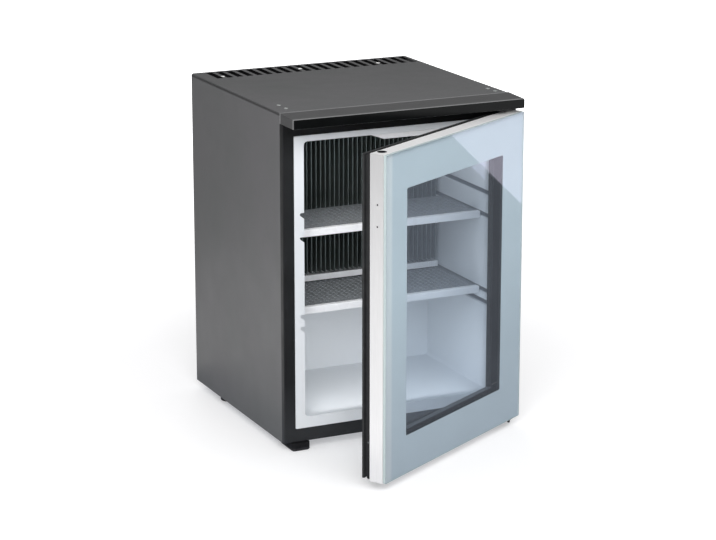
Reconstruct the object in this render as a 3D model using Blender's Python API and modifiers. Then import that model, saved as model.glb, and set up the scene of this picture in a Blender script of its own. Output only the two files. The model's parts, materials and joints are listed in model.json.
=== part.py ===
"""Glass-door absorption minibar fridge as a bench-top assembly of separate pieces.

Sizes are millimetres. The origin is the middle of the base plate's underside, the door faces -Y, +Z is up.
The door stands open at DOOR_OPEN_ANGLE; its pieces are modelled closed and hang from an empty on the hinge.
"""
import math
import bpy
import bmesh
from mathutils import Matrix, Vector

MM = 0.001
SEAT = 0.3
BEYOND = 2.0

# Cabinet
CABINET_WIDTH = 402.0
CABINET_DEPTH = 425.0
CABINET_HEIGHT = 536.0
SHEET = 0.8
FOLD_RADIUS = 2.0
PANEL_RETURN = 11.0
PANEL_DROP = 1.0
PANEL_TOP_STEP = 2.2
TOP_EDGE_STEP = 1.4
TOP_SKIRT = 9.0
TOP_REAR_APRON = 21.0
APRON_SIDE_GAP = 0.6

# Cap over the door
CAP_HEIGHT = 17.0
CAP_TOP_SLOPE = 1.8
CAP_WALL = 2.5
CAP_FLOOR = 2.0
CAP_EDGE_RADIUS = 1.2
CAP_REAR_OPENING = 14.0
STRIP_THICKNESS = 1.0
STRIP_MARGIN = 0.5
STRIP_CORNER = 0.8

# Vent slots in the top
VENT_COUNT = 21
VENT_PITCH = 17.9
VENT_WIDTH = 9.2
VENT_LENGTH = 54.0
VENT_REAR_MARGIN = 8.0
VENT_SHIFT = 7.0

# Black front frame
FRAME_SETBACK = 44.5
FRAME_DEPTH = 10.0
FRAME_SIDE = 19.3
FRAME_SILL = 22.0
FRAME_HEAD_REVEAL = 20.0
FRAME_HEAD_IN_CAP = 13.0
FRAME_EDGE_RADIUS = 1.5

# Inner liner
LINER_WALL = 2.0
LINER_CORNER = 6.0
FLANGE_THICKNESS = 2.5
FLANGE_SIDE = 17.1
FLANGE_SILL = 18.5
FLANGE_HEAD = 9.7
FLANGE_CORNER = 2.0
GROOVE_HEIGHT = 9.4
GROOVE_DEPTH = 7.3
GROOVE_RISE = 4.0
GROOVE_NOSE = 2.0
SPARE_LOWER_GROOVE_TOP = 190.9
LOWER_SHELF_GROOVE_TOP = 210.4
UPPER_SHELF_GROOVE_TOP = 337.5
SPARE_UPPER_GROOVE_TOP = 375.8

# Insulation, back and base
FOAM_BEHIND_LINER = 38.0
FOAM_RELIEF = 0.5
UNIT_BAY = 113.1
BASE_LIP = 12.0
BASE_RISE = 1.5
BASE_RISE_RUN = 4.0
BASE_STRIP_WIDTH = 47.0
BASE_SIDE_GAP = 0.7
BASE_REAR_GAP = 1.0
BASE_SLOT_WIDTH = 12.0
BASE_SLOT_LENGTH = 70.0
BASE_SLOT_PITCH = 34.0
PLUG_WIDTH = 110.0
PLUG_HEIGHT = 110.0
PLUG_BELOW_FIN_TOP = 120.0
PLUG_LIP = 12.0
PLUG_LIP_THICKNESS = 2.0
PLUG_LIP_CORNER = 6.0

# Feet
FOOT_HEIGHT = 14.0
FRONT_FOOT_WIDTH = 31.5
FRONT_FOOT_LENGTH = 50.0
FRONT_FOOT_INSET = 11.5
FRONT_FOOT_REACH = 5.0
FRONT_FOOT_RADIUS = 5.0
FOOT_CHAMFER = 2.0
REAR_FOOT_RADIUS = 12.0
REAR_FOOT_INSET = 20.0
REAR_FOOT_FROM_REAR = 92.5

# Lamp housing under the head of the opening
LAMP_LEFT = -48.8
LAMP_RIGHT = 82.5
LAMP_SHOULDER = 23.4
LAMP_DROP = 8.4
LAMP_LENGTH = 62.0
LENS_WIDTH = 58.0
LENS_LENGTH = 34.0
LENS_THICKNESS = 1.6
LENS_CORNER = 4.0

# Shelves
SHELF_PLATE = 2.4
SHELF_FRONT_SETBACK = 38.0
UPPER_SHELF_TO_FINS = 8.0
LOWER_SHELF_TO_BACK = 10.0
SHELF_HOLE_RADIUS = 4.6
SHELF_HOLE_PITCH_X = 23.0
SHELF_HOLE_PITCH_Y = 21.0
SHELF_HOLE_MARGIN = 17.0
SHELF_CORNER = 3.0
TRIM_HEIGHT = 11.5
TRIM_TOP_LIP = 2.2
TRIM_FACE = 2.5
TRIM_GRIP = 9.0
TRIM_EDGE_RADIUS = 1.5
TRIM_SIDE_CLEARANCE = 1.6

# Evaporator and its gutter
FIN_COUNT = 38
FIN_THICKNESS = 1.4
FIN_SIDE_GAP = 9.6
FIN_REACH = 41.7
FIN_BASE = 4.0
FIN_ABOVE_GROOVE = 11.6
FIN_HEAD_GAP = 19.3
GUTTER_DROP = 1.0
GUTTER_HEIGHT = 10.0
GUTTER_WALL = 1.5
GUTTER_LEDGE = 3.0

# Door
DOOR_SIDE_GAP = 0.8
DOOR_TOP_GAP = 7.5
DOOR_DROP = 0.5
DOOR_OPEN_ANGLE = 30.5
RAIL_DEPTH = 28.8
RAIL_WALL = 2.6
RAIL_WEB = 2.0
RAIL_FLANGE = 16.0
GLASS_INSET = 0.4
GLASS_EDGE_INSET = 0.3
GLASS_THICKNESS = 4.0
GLASS_CORNER = 2.0
PRINT_THICKNESS = 0.3
PRINT_BORDER = 61.0
PANE_GAP = 15.0
INNER_PANE_INSET = 34.0
SPACER_INSET = 36.0
SPACER_WIDTH = 8.0
WINDOW_INSET = 60.5
INNER_FRAME_INSET = 2.0
INNER_FRAME_PLATE = 2.8
INNER_FRAME_LIP = 2.5
SHADOW_GAP = 2.4
LOCATING_RIB = 2.0
LOCATING_RIB_INSET = 8.0
LATCH_HOLE_RADIUS = 1.6
LATCH_HOLE_FROM_BACK = 13.2
LATCH_HOLE_HEIGHTS = (401.2, 434.9)

# Gasket section: inset from the door's edge, latch side and hinge side, at each depth behind the base
GASKET_DEPTH = 9.9
GASKET_FOOT = 1.5
GASKET_LIP = 4.0
GASKET_LATCH_INSETS = (2.5, 2.5, 6.0, 6.0, 2.0, 2.0, 17.0, 17.0, 13.0, 13.0, 20.0, 20.0)
GASKET_HINGE_INSETS = (2.5, 4.5, 9.0, 13.0, 10.8, 16.2, 27.0, 27.0, 20.0, 18.0, 24.0, 24.0)

# Hinge
HINGE_FROM_EDGE = 18.0
HINGE_FROM_FRONT = 19.5
PIN_RADIUS = 3.0
PIN_HEAD_RADIUS = 5.5
PIN_HEAD = 1.8
PIN_ENGAGEMENT = 9.0
BUSH_RADIUS = 6.0
BUSH_FLANGE_RADIUS = 8.0
BUSH_FLANGE = 0.7
BUSH_LENGTH = 10.0
PLUG_DEPTH = 2.4
BRACKET_THICKNESS = 2.5
BRACKET_WIDTH = 30.0
BRACKET_OUTBOARD = 7.2
BRACKET_NOSE = 12.0
LOWER_BRACKET_LENGTH = 85.0
LOWER_BRACKET_PAD = 35.0
LOWER_BRACKET_DROP = 1.8
UPPER_BRACKET_DROP = 3.8
UPPER_BRACKET_LEG = 15.0

# Absorption cooling unit at the rear
UNIT_STANDOFF = 14.0
UNIT_BRACKET_SHEET = 1.5
UNIT_BRACKET_HEIGHT = 30.0
UNIT_BRACKET_FLANGE = 12.0
UNIT_BRACKET_FROM_SIDE = 36.0
LOWER_UNIT_BRACKET_Z = 75.0
UPPER_UNIT_BRACKET_BELOW_PLUG = 150.0
VESSEL_RADIUS = 27.0
VESSEL_FROM_SIDE = 41.0
VESSEL_TO_JACKET = 35.0
VESSEL_CENTRE_Z = 88.0
VESSEL_DOME = 10.0
JACKET_WIDTH = 66.0
JACKET_DEPTH = 66.0
JACKET_BOTTOM = 60.0
JACKET_TOP = 330.0
JACKET_FROM_SIDE = 40.0
JACKET_CORNER = 9.0
COIL_TUBE_RADIUS = 7.0
COIL_TURNS = 3
COIL_PITCH = 45.0
COIL_BOTTOM = 136.0
COIL_FROM_SIDE = 51.0
COIL_TO_JACKET = 40.0
COIL_DEPTH = 62.0
COIL_BEND = 20.0
COIL_FOOT = 8.0
COIL_RISER_X = 20.0
COIL_RISER_BEND = 13.0
VAPOUR_TUBE_RADIUS = 6.0
VAPOUR_BEND = 16.0
VAPOUR_FROM_JACKET_CENTRE = 6.0
LIQUID_TUBE_RADIUS = 4.0
LIQUID_BEND = 12.0
LIQUID_STUB = 2.0
EXCHANGER_RADIUS = 9.0
CONDENSER_BELOW_TOP = 66.0
CONDENSER_FROM_REAR = 62.5
CONDENSER_FROM_SIDE = 89.0
CONDENSER_FIN_COUNT = 15
CONDENSER_FIN_PITCH = 15.0
CONDENSER_FIN_THICKNESS = 1.5
CONDENSER_FIN_RADIUS = 24.0
CONDENSER_TUBE_RADIUS = 8.0
CONTROL_BOX_WIDTH = 72.0
CONTROL_BOX_HEIGHT = 62.0
CONTROL_BOX_DEPTH = 36.0
CONTROL_BOX_FROM_SIDE = 37.0
CONTROL_BOX_BELOW_TOP = 90.0
CONTROL_BOX_CORNER = 5.0
GLAND_RADIUS = 9.0
GLAND_TIP_RADIUS = 5.5
GLAND_LENGTH = 16.0
GLAND_RECESS = 2.5

# Places worked out from the sizes above
HALF_WIDTH = CABINET_WIDTH / 2
FRONT = -CABINET_DEPTH / 2
REAR = CABINET_DEPTH / 2
FRAME_FACE = FRONT + FRAME_SETBACK
FRAME_BACK = FRAME_FACE + FRAME_DEPTH
CAP_BOTTOM = CABINET_HEIGHT - CAP_HEIGHT
CAP_FRONT = FRONT + STRIP_THICKNESS + SEAT
CAP_BACK = FRAME_BACK - SEAT
OPENING_HALF = HALF_WIDTH - FRAME_SIDE
OPENING_TOP = CAP_BOTTOM - FRAME_HEAD_REVEAL
CAVITY_HALF = OPENING_HALF - FLANGE_SIDE
CAVITY_BOTTOM = FRAME_SILL + FLANGE_SILL
CAVITY_TOP = OPENING_TOP - FLANGE_HEAD
BACK_PLATE_REAR = REAR - UNIT_BAY
BACK_PLATE_FRONT = BACK_PLATE_REAR - SHEET
FOAM_BACK = BACK_PLATE_FRONT - SEAT
LINER_BACK = FOAM_BACK - FOAM_BEHIND_LINER - SEAT
CAVITY_BACK = LINER_BACK - LINER_WALL
GROOVE_TOPS = (SPARE_LOWER_GROOVE_TOP, LOWER_SHELF_GROOVE_TOP, UPPER_SHELF_GROOVE_TOP, SPARE_UPPER_GROOVE_TOP)
PANEL_FRONT = FRAME_BACK + SEAT
PANEL_TOP = CABINET_HEIGHT - PANEL_TOP_STEP
TOP_HALF = HALF_WIDTH - TOP_EDGE_STEP
FOAM_HALF = TOP_HALF - SHEET - SEAT
FOAM_FRONT = PANEL_FRONT + SHEET + SEAT
FOAM_TOP = CABINET_HEIGHT - SHEET - SEAT - FOAM_RELIEF
BASE_HALF = HALF_WIDTH - SHEET - BASE_SIDE_GAP
BASE_FRONT = FOAM_FRONT
BASE_FIELD_HALF = BASE_HALF - BASE_STRIP_WIDTH - BASE_RISE_RUN
BASE_TOP = BASE_RISE + SHEET
FOAM_BOTTOM = BASE_TOP + SEAT
DOOR_LEFT = DOOR_SIDE_GAP - HALF_WIDTH
DOOR_RIGHT = HALF_WIDTH - DOOR_SIDE_GAP
DOOR_BOTTOM = -DOOR_DROP
DOOR_TOP = CAP_BOTTOM - DOOR_TOP_GAP
HINGE_X = DOOR_RIGHT - HINGE_FROM_EDGE
HINGE_Y = FRONT + HINGE_FROM_FRONT
OUTER_GLASS_BACK = GLASS_INSET + GLASS_THICKNESS
PRINT_FRONT = OUTER_GLASS_BACK + SEAT
PRINT_BACK = PRINT_FRONT + PRINT_THICKNESS
REBATE_FRONT = PRINT_BACK + SEAT
INNER_PANE_FRONT = PRINT_BACK + PANE_GAP
INNER_PANE_BACK = INNER_PANE_FRONT + GLASS_THICKNESS
INNER_FRAME_FRONT = RAIL_DEPTH + SHADOW_GAP
INNER_FRAME_BACK = INNER_FRAME_FRONT + INNER_FRAME_PLATE
GASKET_FRONT = INNER_FRAME_BACK + SEAT
FIN_HALF = CAVITY_HALF - FIN_SIDE_GAP
FIN_BACK = CAVITY_BACK - SEAT
FIN_TIP = FIN_BACK - FIN_BASE - FIN_REACH
FIN_BOTTOM = LOWER_SHELF_GROOVE_TOP + FIN_ABOVE_GROOVE
FIN_TOP = CAVITY_TOP - FIN_HEAD_GAP
UNIT_FACE = BACK_PLATE_REAR + SEAT + UNIT_STANDOFF
PLUG_FRONT = LINER_BACK + SEAT
PLUG_REAR = BACK_PLATE_REAR + SEAT + PLUG_LIP_THICKNESS
PLUG_CENTRE_Z = FIN_TOP - PLUG_BELOW_FIN_TOP
UPPER_UNIT_BRACKET_Z = PLUG_CENTRE_Z - UPPER_UNIT_BRACKET_BELOW_PLUG
JACKET_FRONT = UNIT_FACE + SEAT
JACKET_RIGHT = HALF_WIDTH - JACKET_FROM_SIDE
JACKET_LEFT = JACKET_RIGHT - JACKET_WIDTH
VESSEL_LEFT = VESSEL_FROM_SIDE - HALF_WIDTH
VESSEL_RIGHT = JACKET_LEFT - VESSEL_TO_JACKET
VESSEL_Y = UNIT_FACE + SEAT + VESSEL_RADIUS
COIL_LEFT = COIL_FROM_SIDE - HALF_WIDTH
COIL_RIGHT = JACKET_LEFT - COIL_TO_JACKET
CONDENSER_RIGHT = HALF_WIDTH - CONDENSER_FROM_SIDE
CONDENSER_Y = REAR - CONDENSER_FROM_REAR
CONDENSER_Z = CABINET_HEIGHT - CONDENSER_BELOW_TOP

FINISHES = {
    "painted_sheet": ((0.13, 0.132, 0.135), 0.5, 0.3),
    "galvanised": ((0.55, 0.56, 0.57), 0.4, 0.8),
    "black_moulding": ((0.02, 0.021, 0.022), 0.42, 0.0),
    "gloss_black": ((0.006, 0.007, 0.007), 0.12, 0.0),
    "white_liner": ((0.82, 0.83, 0.85), 0.32, 0.0),
    "white_trim": ((0.85, 0.85, 0.86), 0.3, 0.0),
    "frosted_lens": ((0.8, 0.82, 0.85), 0.55, 0.0),
    "foam": ((0.72, 0.66, 0.42), 0.9, 0.0),
    "rubber_foot": ((0.02, 0.02, 0.021), 0.75, 0.0),
    "grey_shelf": ((0.42, 0.43, 0.45), 0.45, 0.0),
    "fin_aluminium": ((0.5, 0.54, 0.53), 0.35, 0.9),
    "door_aluminium": ((0.72, 0.72, 0.72), 0.32, 0.9),
    "clear_glass": ((0.85, 0.9, 0.92), 0.05, 0.0),
    "blue_grey_print": ((0.42, 0.53, 0.58), 0.25, 0.0),
    "grey_gasket": ((0.16, 0.165, 0.17), 0.6, 0.0),
    "zinc_steel": ((0.4, 0.4, 0.41), 0.35, 0.9),
    "black_steel": ((0.03, 0.03, 0.032), 0.5, 0.4),
    "white_bush": ((0.7, 0.7, 0.7), 0.4, 0.0),
    "unit_black": ((0.025, 0.025, 0.026), 0.45, 0.3),
}


def start_scene():
    """Empty the scene and return the collections for parts and cutters."""
    for old in list(bpy.data.objects):
        bpy.data.objects.remove(old, do_unlink=True)
    parts = bpy.data.collections.new("minibar_fridge")
    tools = bpy.data.collections.new("cutters")
    bpy.context.scene.collection.children.link(parts)
    bpy.context.scene.collection.children.link(tools)
    return parts, tools


PARTS, CUTTERS = start_scene()


def material(finish):
    """Return the Principled material of a named finish."""
    found = bpy.data.materials.get(finish)
    if found:
        return found
    colour, roughness, metallic = FINISHES[finish]
    made = bpy.data.materials.new(finish)
    made.use_nodes = True
    shader = made.node_tree.nodes["Principled BSDF"]
    shader.inputs["Base Color"].default_value = (*colour, 1.0)
    shader.inputs["Roughness"].default_value = roughness
    shader.inputs["Metallic"].default_value = metallic
    return made


def add_object(name, mesh, finish):
    """Link a mesh as a part, or as a cutter where it has no finish."""
    made = bpy.data.objects.new(name, mesh)
    if finish:
        mesh.materials.clear()
        mesh.materials.append(material(finish))
        PARTS.objects.link(made)
    else:
        CUTTERS.objects.link(made)
        made.hide_render = True
        made.display_type = "WIRE"
    return made


def finish_mesh(name, bm, finish, smooth_angle=None):
    """Close up a bmesh built in millimetres and turn it into an object in metres."""
    bmesh.ops.recalc_face_normals(bm, faces=bm.faces)
    bmesh.ops.scale(bm, vec=(MM, MM, MM), verts=bm.verts)
    mesh = bpy.data.meshes.new(name)
    bm.to_mesh(mesh)
    bm.free()
    if smooth_angle:
        mesh.shade_smooth()
        mesh.set_sharp_from_angle(angle=math.radians(smooth_angle))
    return add_object(name, mesh, finish)


def box(name, low, high, finish):
    """Box between two corners."""
    bm = bmesh.new()
    bmesh.ops.create_cube(bm, size=1.0)
    size = Vector(high) - Vector(low)
    bmesh.ops.scale(bm, vec=size, verts=bm.verts)
    bmesh.ops.translate(bm, vec=(Vector(high) + Vector(low)) / 2, verts=bm.verts)
    return finish_mesh(name, bm, finish)


def rod(name, radius, start, end, finish, sides=24):
    """Round rod between two points."""
    bm = bmesh.new()
    axis = Vector(end) - Vector(start)
    bmesh.ops.create_cone(bm, cap_ends=True, segments=sides, radius1=radius, radius2=radius,
                          depth=axis.length)
    turn = Vector((0, 0, 1)).rotation_difference(axis).to_matrix()
    bmesh.ops.rotate(bm, verts=bm.verts, matrix=turn)
    bmesh.ops.translate(bm, vec=(Vector(start) + Vector(end)) / 2, verts=bm.verts)
    return finish_mesh(name, bm, finish, 40)


PLANES = {
    "XY": Matrix(((1, 0, 0), (0, 1, 0), (0, 0, 1))),
    "XZ": Matrix(((1, 0, 0), (0, 0, 1), (0, 1, 0))),
    "YZ": Matrix(((0, 0, 1), (1, 0, 0), (0, 1, 0))),
}


def extruded(name, plane, outlines, low, high, finish, smooth_angle=None):
    """Flat outline with holes, extruded from low to high across its plane."""
    curve = bpy.data.curves.new(name, "CURVE")
    curve.dimensions = "2D"
    curve.fill_mode = "BOTH"
    curve.extrude = (high - low) / 2
    for outline in outlines:
        spline = curve.splines.new("POLY")
        spline.points.add(len(outline) - 1)
        for point, (a, b) in zip(spline.points, outline):
            point.co = (a, b, 0.0, 1.0)
        spline.use_cyclic_u = True
    holder = bpy.data.objects.new(name, curve)
    CUTTERS.objects.link(holder)
    depsgraph = bpy.context.evaluated_depsgraph_get()
    flat = bpy.data.meshes.new_from_object(holder.evaluated_get(depsgraph))
    bpy.data.objects.remove(holder, do_unlink=True)
    bpy.data.curves.remove(curve)
    bm = bmesh.new()
    bm.from_mesh(flat)
    bpy.data.meshes.remove(flat)
    bmesh.ops.remove_doubles(bm, verts=bm.verts, dist=0.001)
    bmesh.ops.translate(bm, vec=(0, 0, (low + high) / 2), verts=bm.verts)
    bmesh.ops.transform(bm, matrix=PLANES[plane].to_4x4(), verts=bm.verts)
    return finish_mesh(name, bm, finish, smooth_angle)


def turned(name, profile, centre, axis, finish, steps=24):
    """Turned piece: a profile of radius and height, run down its outer side, swept by a Screw modifier."""
    mesh = bpy.data.meshes.new(name)
    points = [(radius * MM, 0.0, height * MM) for radius, height in profile]
    closed = profile[0][0] > 0.0
    edges = [(i, i + 1) for i in range(len(points) - 1)]
    if closed:
        edges.append((len(points) - 1, 0))
    mesh.from_pydata(points, edges, [])
    made = add_object(name, mesh, finish)
    screw = made.modifiers.new("turn", "SCREW")
    screw.steps = steps
    screw.render_steps = steps
    screw.use_merge_vertices = True
    screw.merge_threshold = 0.00005
    screw.use_smooth_shade = False
    made.location = Vector(centre) * MM
    made.rotation_mode = "QUATERNION"
    made.rotation_quaternion = Vector((0, 0, 1)).rotation_difference(Vector(axis))
    return made


def loft(name, rings, closed, finish, smooth_angle=None):
    """Skin between rings of matching points; a closed loft joins its last ring to its first."""
    bm = bmesh.new()
    rows = [[bm.verts.new(point) for point in ring] for ring in rings]
    pairs = list(zip(rows, rows[1:]))
    if closed:
        pairs.append((rows[-1], rows[0]))
    for first, second in pairs:
        count = len(first)
        for i in range(count):
            j = (i + 1) % count
            bm.faces.new((first[i], first[j], second[j], second[i]))
    if not closed:
        bm.faces.new(rows[0])
        bm.faces.new(rows[-1])
    return finish_mesh(name, bm, finish, smooth_angle)


def tube(name, points, radius, finish, sides_level=1):
    """Round tube along points, with filled ends."""
    curve = bpy.data.curves.new(name, "CURVE")
    curve.dimensions = "3D"
    curve.bevel_depth = radius
    curve.bevel_resolution = sides_level
    curve.use_fill_caps = True
    spline = curve.splines.new("POLY")
    spline.points.add(len(points) - 1)
    for point, place in zip(spline.points, points):
        point.co = (*place, 1.0)
    holder = bpy.data.objects.new(name, curve)
    CUTTERS.objects.link(holder)
    depsgraph = bpy.context.evaluated_depsgraph_get()
    skin = bpy.data.meshes.new_from_object(holder.evaluated_get(depsgraph))
    bpy.data.objects.remove(holder, do_unlink=True)
    bpy.data.curves.remove(curve)
    bm = bmesh.new()
    bm.from_mesh(skin)
    bpy.data.meshes.remove(skin)
    bmesh.ops.remove_doubles(bm, verts=bm.verts, dist=0.001)
    return finish_mesh(name, bm, finish, 50)


def cut(target, cutter, operation="DIFFERENCE"):
    """Boolean with a cutter that stays on the target as a modifier."""
    made = target.modifiers.new(cutter.name, "BOOLEAN")
    made.operation = operation
    made.solver = "EXACT"
    made.object = cutter
    return target


def arc(centre_a, centre_b, radius, start_degrees, end_degrees, steps=4):
    """Points on an arc in a flat plane."""
    points = []
    for i in range(steps + 1):
        angle = math.radians(start_degrees + (end_degrees - start_degrees) * i / steps)
        points.append((centre_a + radius * math.cos(angle), centre_b + radius * math.sin(angle)))
    return points


def rounded_rectangle(left, right, bottom, top, radius, steps=4):
    """Rectangle outline with rounded corners, anticlockwise."""
    points = arc(right - radius, bottom + radius, radius, -90, 0, steps)
    points += arc(right - radius, top - radius, radius, 0, 90, steps)
    points += arc(left + radius, top - radius, radius, 90, 180, steps)
    points += arc(left + radius, bottom + radius, radius, 180, 270, steps)
    return points


def folded(path, thickness, radius, steps=3):
    """Outline of a folded sheet: a path of corners, thickened to its left, with bends of one outer radius."""
    right = [path[0]]
    first = (Vector(path[1]) - Vector(path[0])).normalized()
    left = [Vector(path[0]) + Vector((-first.y, first.x)) * thickness]
    for before, corner, after in zip(path, path[1:], path[2:]):
        come = (Vector(corner) - Vector(before)).normalized()
        leave = (Vector(after) - Vector(corner)).normalized()
        angle = math.atan2(come.x * leave.y - come.y * leave.x, come.dot(leave))
        side = math.copysign(1.0, angle)
        right_arm = radius if side > 0 else radius - thickness
        left_arm = radius - thickness if side > 0 else radius
        start = Vector(corner) - come * right_arm * math.tan(abs(angle) / 2)
        inward = Vector((-come.y, come.x)) * side
        centre = start + inward * right_arm
        for i in range(steps + 1):
            arm = Matrix.Rotation(angle * i / steps, 2) @ -inward
            right.append(tuple(centre + arm * right_arm))
            left.append(centre + arm * left_arm)
    last = (Vector(path[-1]) - Vector(path[-2])).normalized()
    right.append(path[-1])
    left.append(Vector(path[-1]) + Vector((-last.y, last.x)) * thickness)
    return right + [tuple(point) for point in reversed(left)]


def mirrored(points):
    """Outline mirrored across the middle of the cabinet."""
    return [(-a, b) for a, b in reversed(points)]


def side_panels():
    """Two folded side sheets with a return at the front and at the rear."""
    path = [
        (HALF_WIDTH - PANEL_RETURN, PANEL_FRONT),
        (HALF_WIDTH, PANEL_FRONT),
        (HALF_WIDTH, REAR),
        (HALF_WIDTH - PANEL_RETURN, REAR),
    ]
    right = folded(path, SHEET, FOLD_RADIUS)
    relief_bottom = CABINET_HEIGHT - TOP_SKIRT - SEAT
    for side, name, outline in ((1, "right", right), (-1, "left", mirrored(right))):
        panel = extruded(f"side_panel_{name}", "XY", [outline], -PANEL_DROP, PANEL_TOP, "painted_sheet", 35)
        x_low, x_high = sorted((side * (HALF_WIDTH - PANEL_RETURN - BEYOND), side * (TOP_HALF + SEAT)))
        relief = box(f"return_relief_cutter_{name}", (x_low, PANEL_FRONT - BEYOND, relief_bottom),
                     (x_high, REAR + BEYOND, CABINET_HEIGHT), None)
        cut(panel, relief)


def top_panel():
    """Folded top sheet with a row of vent slots along the rear and an apron folded down behind them."""
    skirt_bottom = CABINET_HEIGHT - TOP_SKIRT
    path = [
        (TOP_HALF, skirt_bottom),
        (TOP_HALF, CABINET_HEIGHT),
        (-TOP_HALF, CABINET_HEIGHT),
        (-TOP_HALF, skirt_bottom),
    ]
    sheet = extruded("top_panel", "XZ", [folded(path, SHEET, FOLD_RADIUS)], CAP_BACK + SEAT, REAR,
                     "painted_sheet", 35)
    apron_half = HALF_WIDTH - PANEL_RETURN - APRON_SIDE_GAP
    apron = box("rear_apron_cutter", (-apron_half, REAR - SHEET, CABINET_HEIGHT - TOP_REAR_APRON),
                (apron_half, REAR, CABINET_HEIGHT - SHEET / 2), None)
    cut(sheet, apron, "UNION")
    vent_rear = REAR - VENT_REAR_MARGIN
    for i in range(VENT_COUNT):
        middle = (i - (VENT_COUNT - 1) / 2) * VENT_PITCH + VENT_SHIFT
        low = (middle - VENT_WIDTH / 2, vent_rear - VENT_LENGTH, CABINET_HEIGHT - SHEET - BEYOND)
        high = (middle + VENT_WIDTH / 2, vent_rear, CABINET_HEIGHT + BEYOND)
        cut(sheet, box(f"vent_cutter_{i + 1}", low, high, None))


def cap():
    """Hollow moulded cap over the door, open at the rear, with a thin glossy strip on its front."""
    front_top = CABINET_HEIGHT - CAP_TOP_SLOPE
    outline = [(CAP_BACK, CAP_BOTTOM), (CAP_BACK, CABINET_HEIGHT)]
    outline += arc(CAP_FRONT + CAP_EDGE_RADIUS, front_top - CAP_EDGE_RADIUS, CAP_EDGE_RADIUS, 90, 180, 3)
    outline += [(CAP_FRONT, CAP_BOTTOM)]
    shell = extruded("top_cap", "YZ", [outline], -HALF_WIDTH, HALF_WIDTH, "painted_sheet", 30)
    roof_front = front_top - CAP_WALL
    roof_back = CABINET_HEIGHT - CAP_WALL
    hollow = [
        (CAP_FRONT + CAP_WALL, CAP_BOTTOM + CAP_FLOOR),
        (CAP_FRONT + CAP_WALL, roof_front),
        (CAP_BACK + BEYOND, roof_back),
        (CAP_BACK + BEYOND, CAP_BOTTOM - BEYOND),
        (CAP_BACK - CAP_REAR_OPENING, CAP_BOTTOM - BEYOND),
        (CAP_BACK - CAP_REAR_OPENING, CAP_BOTTOM + CAP_FLOOR),
    ]
    inside = HALF_WIDTH - CAP_WALL
    cut(shell, extruded("cap_hollow_cutter", "YZ", [hollow], -inside, inside, None))
    strip = rounded_rectangle(-HALF_WIDTH + STRIP_MARGIN, HALF_WIDTH - STRIP_MARGIN,
                              CAP_BOTTOM + STRIP_MARGIN, front_top - STRIP_MARGIN, STRIP_CORNER, 2)
    extruded("cap_front_strip", "XZ", [strip], FRONT, FRONT + STRIP_THICKNESS, "gloss_black")


def frame_ring(name, bounds, face, sections, finish):
    """Rectangular ring with mitred corners, lofted from the sections of its four sides.

    A section is a list of (inset from the outer edge, depth behind the face).
    """
    left, right, bottom, top = bounds
    rings = []
    for x_side, z_side in (("left", "bottom"), ("right", "bottom"), ("right", "top"), ("left", "top")):
        ring = []
        for (inset_x, depth), (inset_z, _) in zip(sections[x_side], sections[z_side]):
            x = left + inset_x if x_side == "left" else right - inset_x
            z = bottom + inset_z if z_side == "bottom" else top - inset_z
            ring.append((x, face + depth, z))
        rings.append(ring)
    return loft(name, rings, True, finish)


def front_frame():
    """Black ring round the opening; its head carries on up inside the cap."""
    radius = FRAME_EDGE_RADIUS

    def section(width):
        """Outer edge rounded at the front, square at the back."""
        corner = [(radius + a, radius + b) for a, b in arc(0, 0, radius, 180, 270, 3)]
        return corner + [(width, 0.0), (width, FRAME_DEPTH), (0.0, FRAME_DEPTH)]

    head_top = CAP_BOTTOM + FRAME_HEAD_IN_CAP
    sections = {
        "left": section(FRAME_SIDE),
        "right": section(FRAME_SIDE),
        "bottom": section(FRAME_SILL),
        "top": section(head_top - OPENING_TOP),
    }
    ring = frame_ring("front_frame", (-HALF_WIDTH, HALF_WIDTH, 0.0, head_top), FRAME_FACE, sections,
                      "black_moulding")
    notch_inside = HALF_WIDTH - CAP_WALL - SEAT
    for side, name in ((1, "right"), (-1, "left")):
        x_low, x_high = sorted((side * notch_inside, side * (HALF_WIDTH + BEYOND)))
        low = (x_low, FRAME_FACE - BEYOND, CAP_BOTTOM - SEAT)
        high = (x_high, FRAME_BACK + BEYOND, head_top + BEYOND)
        cut(ring, box(f"frame_notch_cutter_{name}", low, high, None))


def liner_outline(grow):
    """Compartment section with its shelf grooves, pushed outwards by grow."""
    half = CAVITY_HALF + grow
    bottom = CAVITY_BOTTOM - grow
    top = CAVITY_TOP + grow
    radius = LINER_CORNER
    right = arc(half - radius, bottom + radius, radius, -90, 0, 3)
    for groove_top in GROOVE_TOPS:
        low = groove_top - GROOVE_HEIGHT - grow
        high = groove_top + grow
        end = half + GROOVE_DEPTH
        nose = GROOVE_NOSE
        right += [(half, low), (end - nose, low + GROOVE_RISE), (end, low + GROOVE_RISE + nose)]
        right += arc(end - nose, high - nose, nose, 0, 90, 2)
        right += [(half, high)]
    right += arc(half - radius, top - radius, radius, 0, 90, 3)
    return right + mirrored(right)


def inner_liner():
    """White shell with a flange at the front and grooves that carry the shelves."""
    flange_half = OPENING_HALF - SEAT
    flange = rounded_rectangle(-flange_half, flange_half, FRAME_SILL + SEAT, OPENING_TOP - SEAT,
                               FLANGE_CORNER, 2)
    flange_back = FRAME_FACE + FLANGE_THICKNESS
    shell = extruded("inner_liner", "XZ", [flange], FRAME_FACE, flange_back, "white_liner", 30)
    body = extruded("liner_body_cutter", "XZ", [liner_outline(LINER_WALL)], flange_back - LINER_WALL / 2,
                    LINER_BACK, None)
    cavity = extruded("liner_cavity_cutter", "XZ", [liner_outline(0.0)], FRAME_FACE - LINER_WALL,
                      CAVITY_BACK, None)
    cut(shell, body, "UNION")
    cut(shell, cavity)


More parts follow.
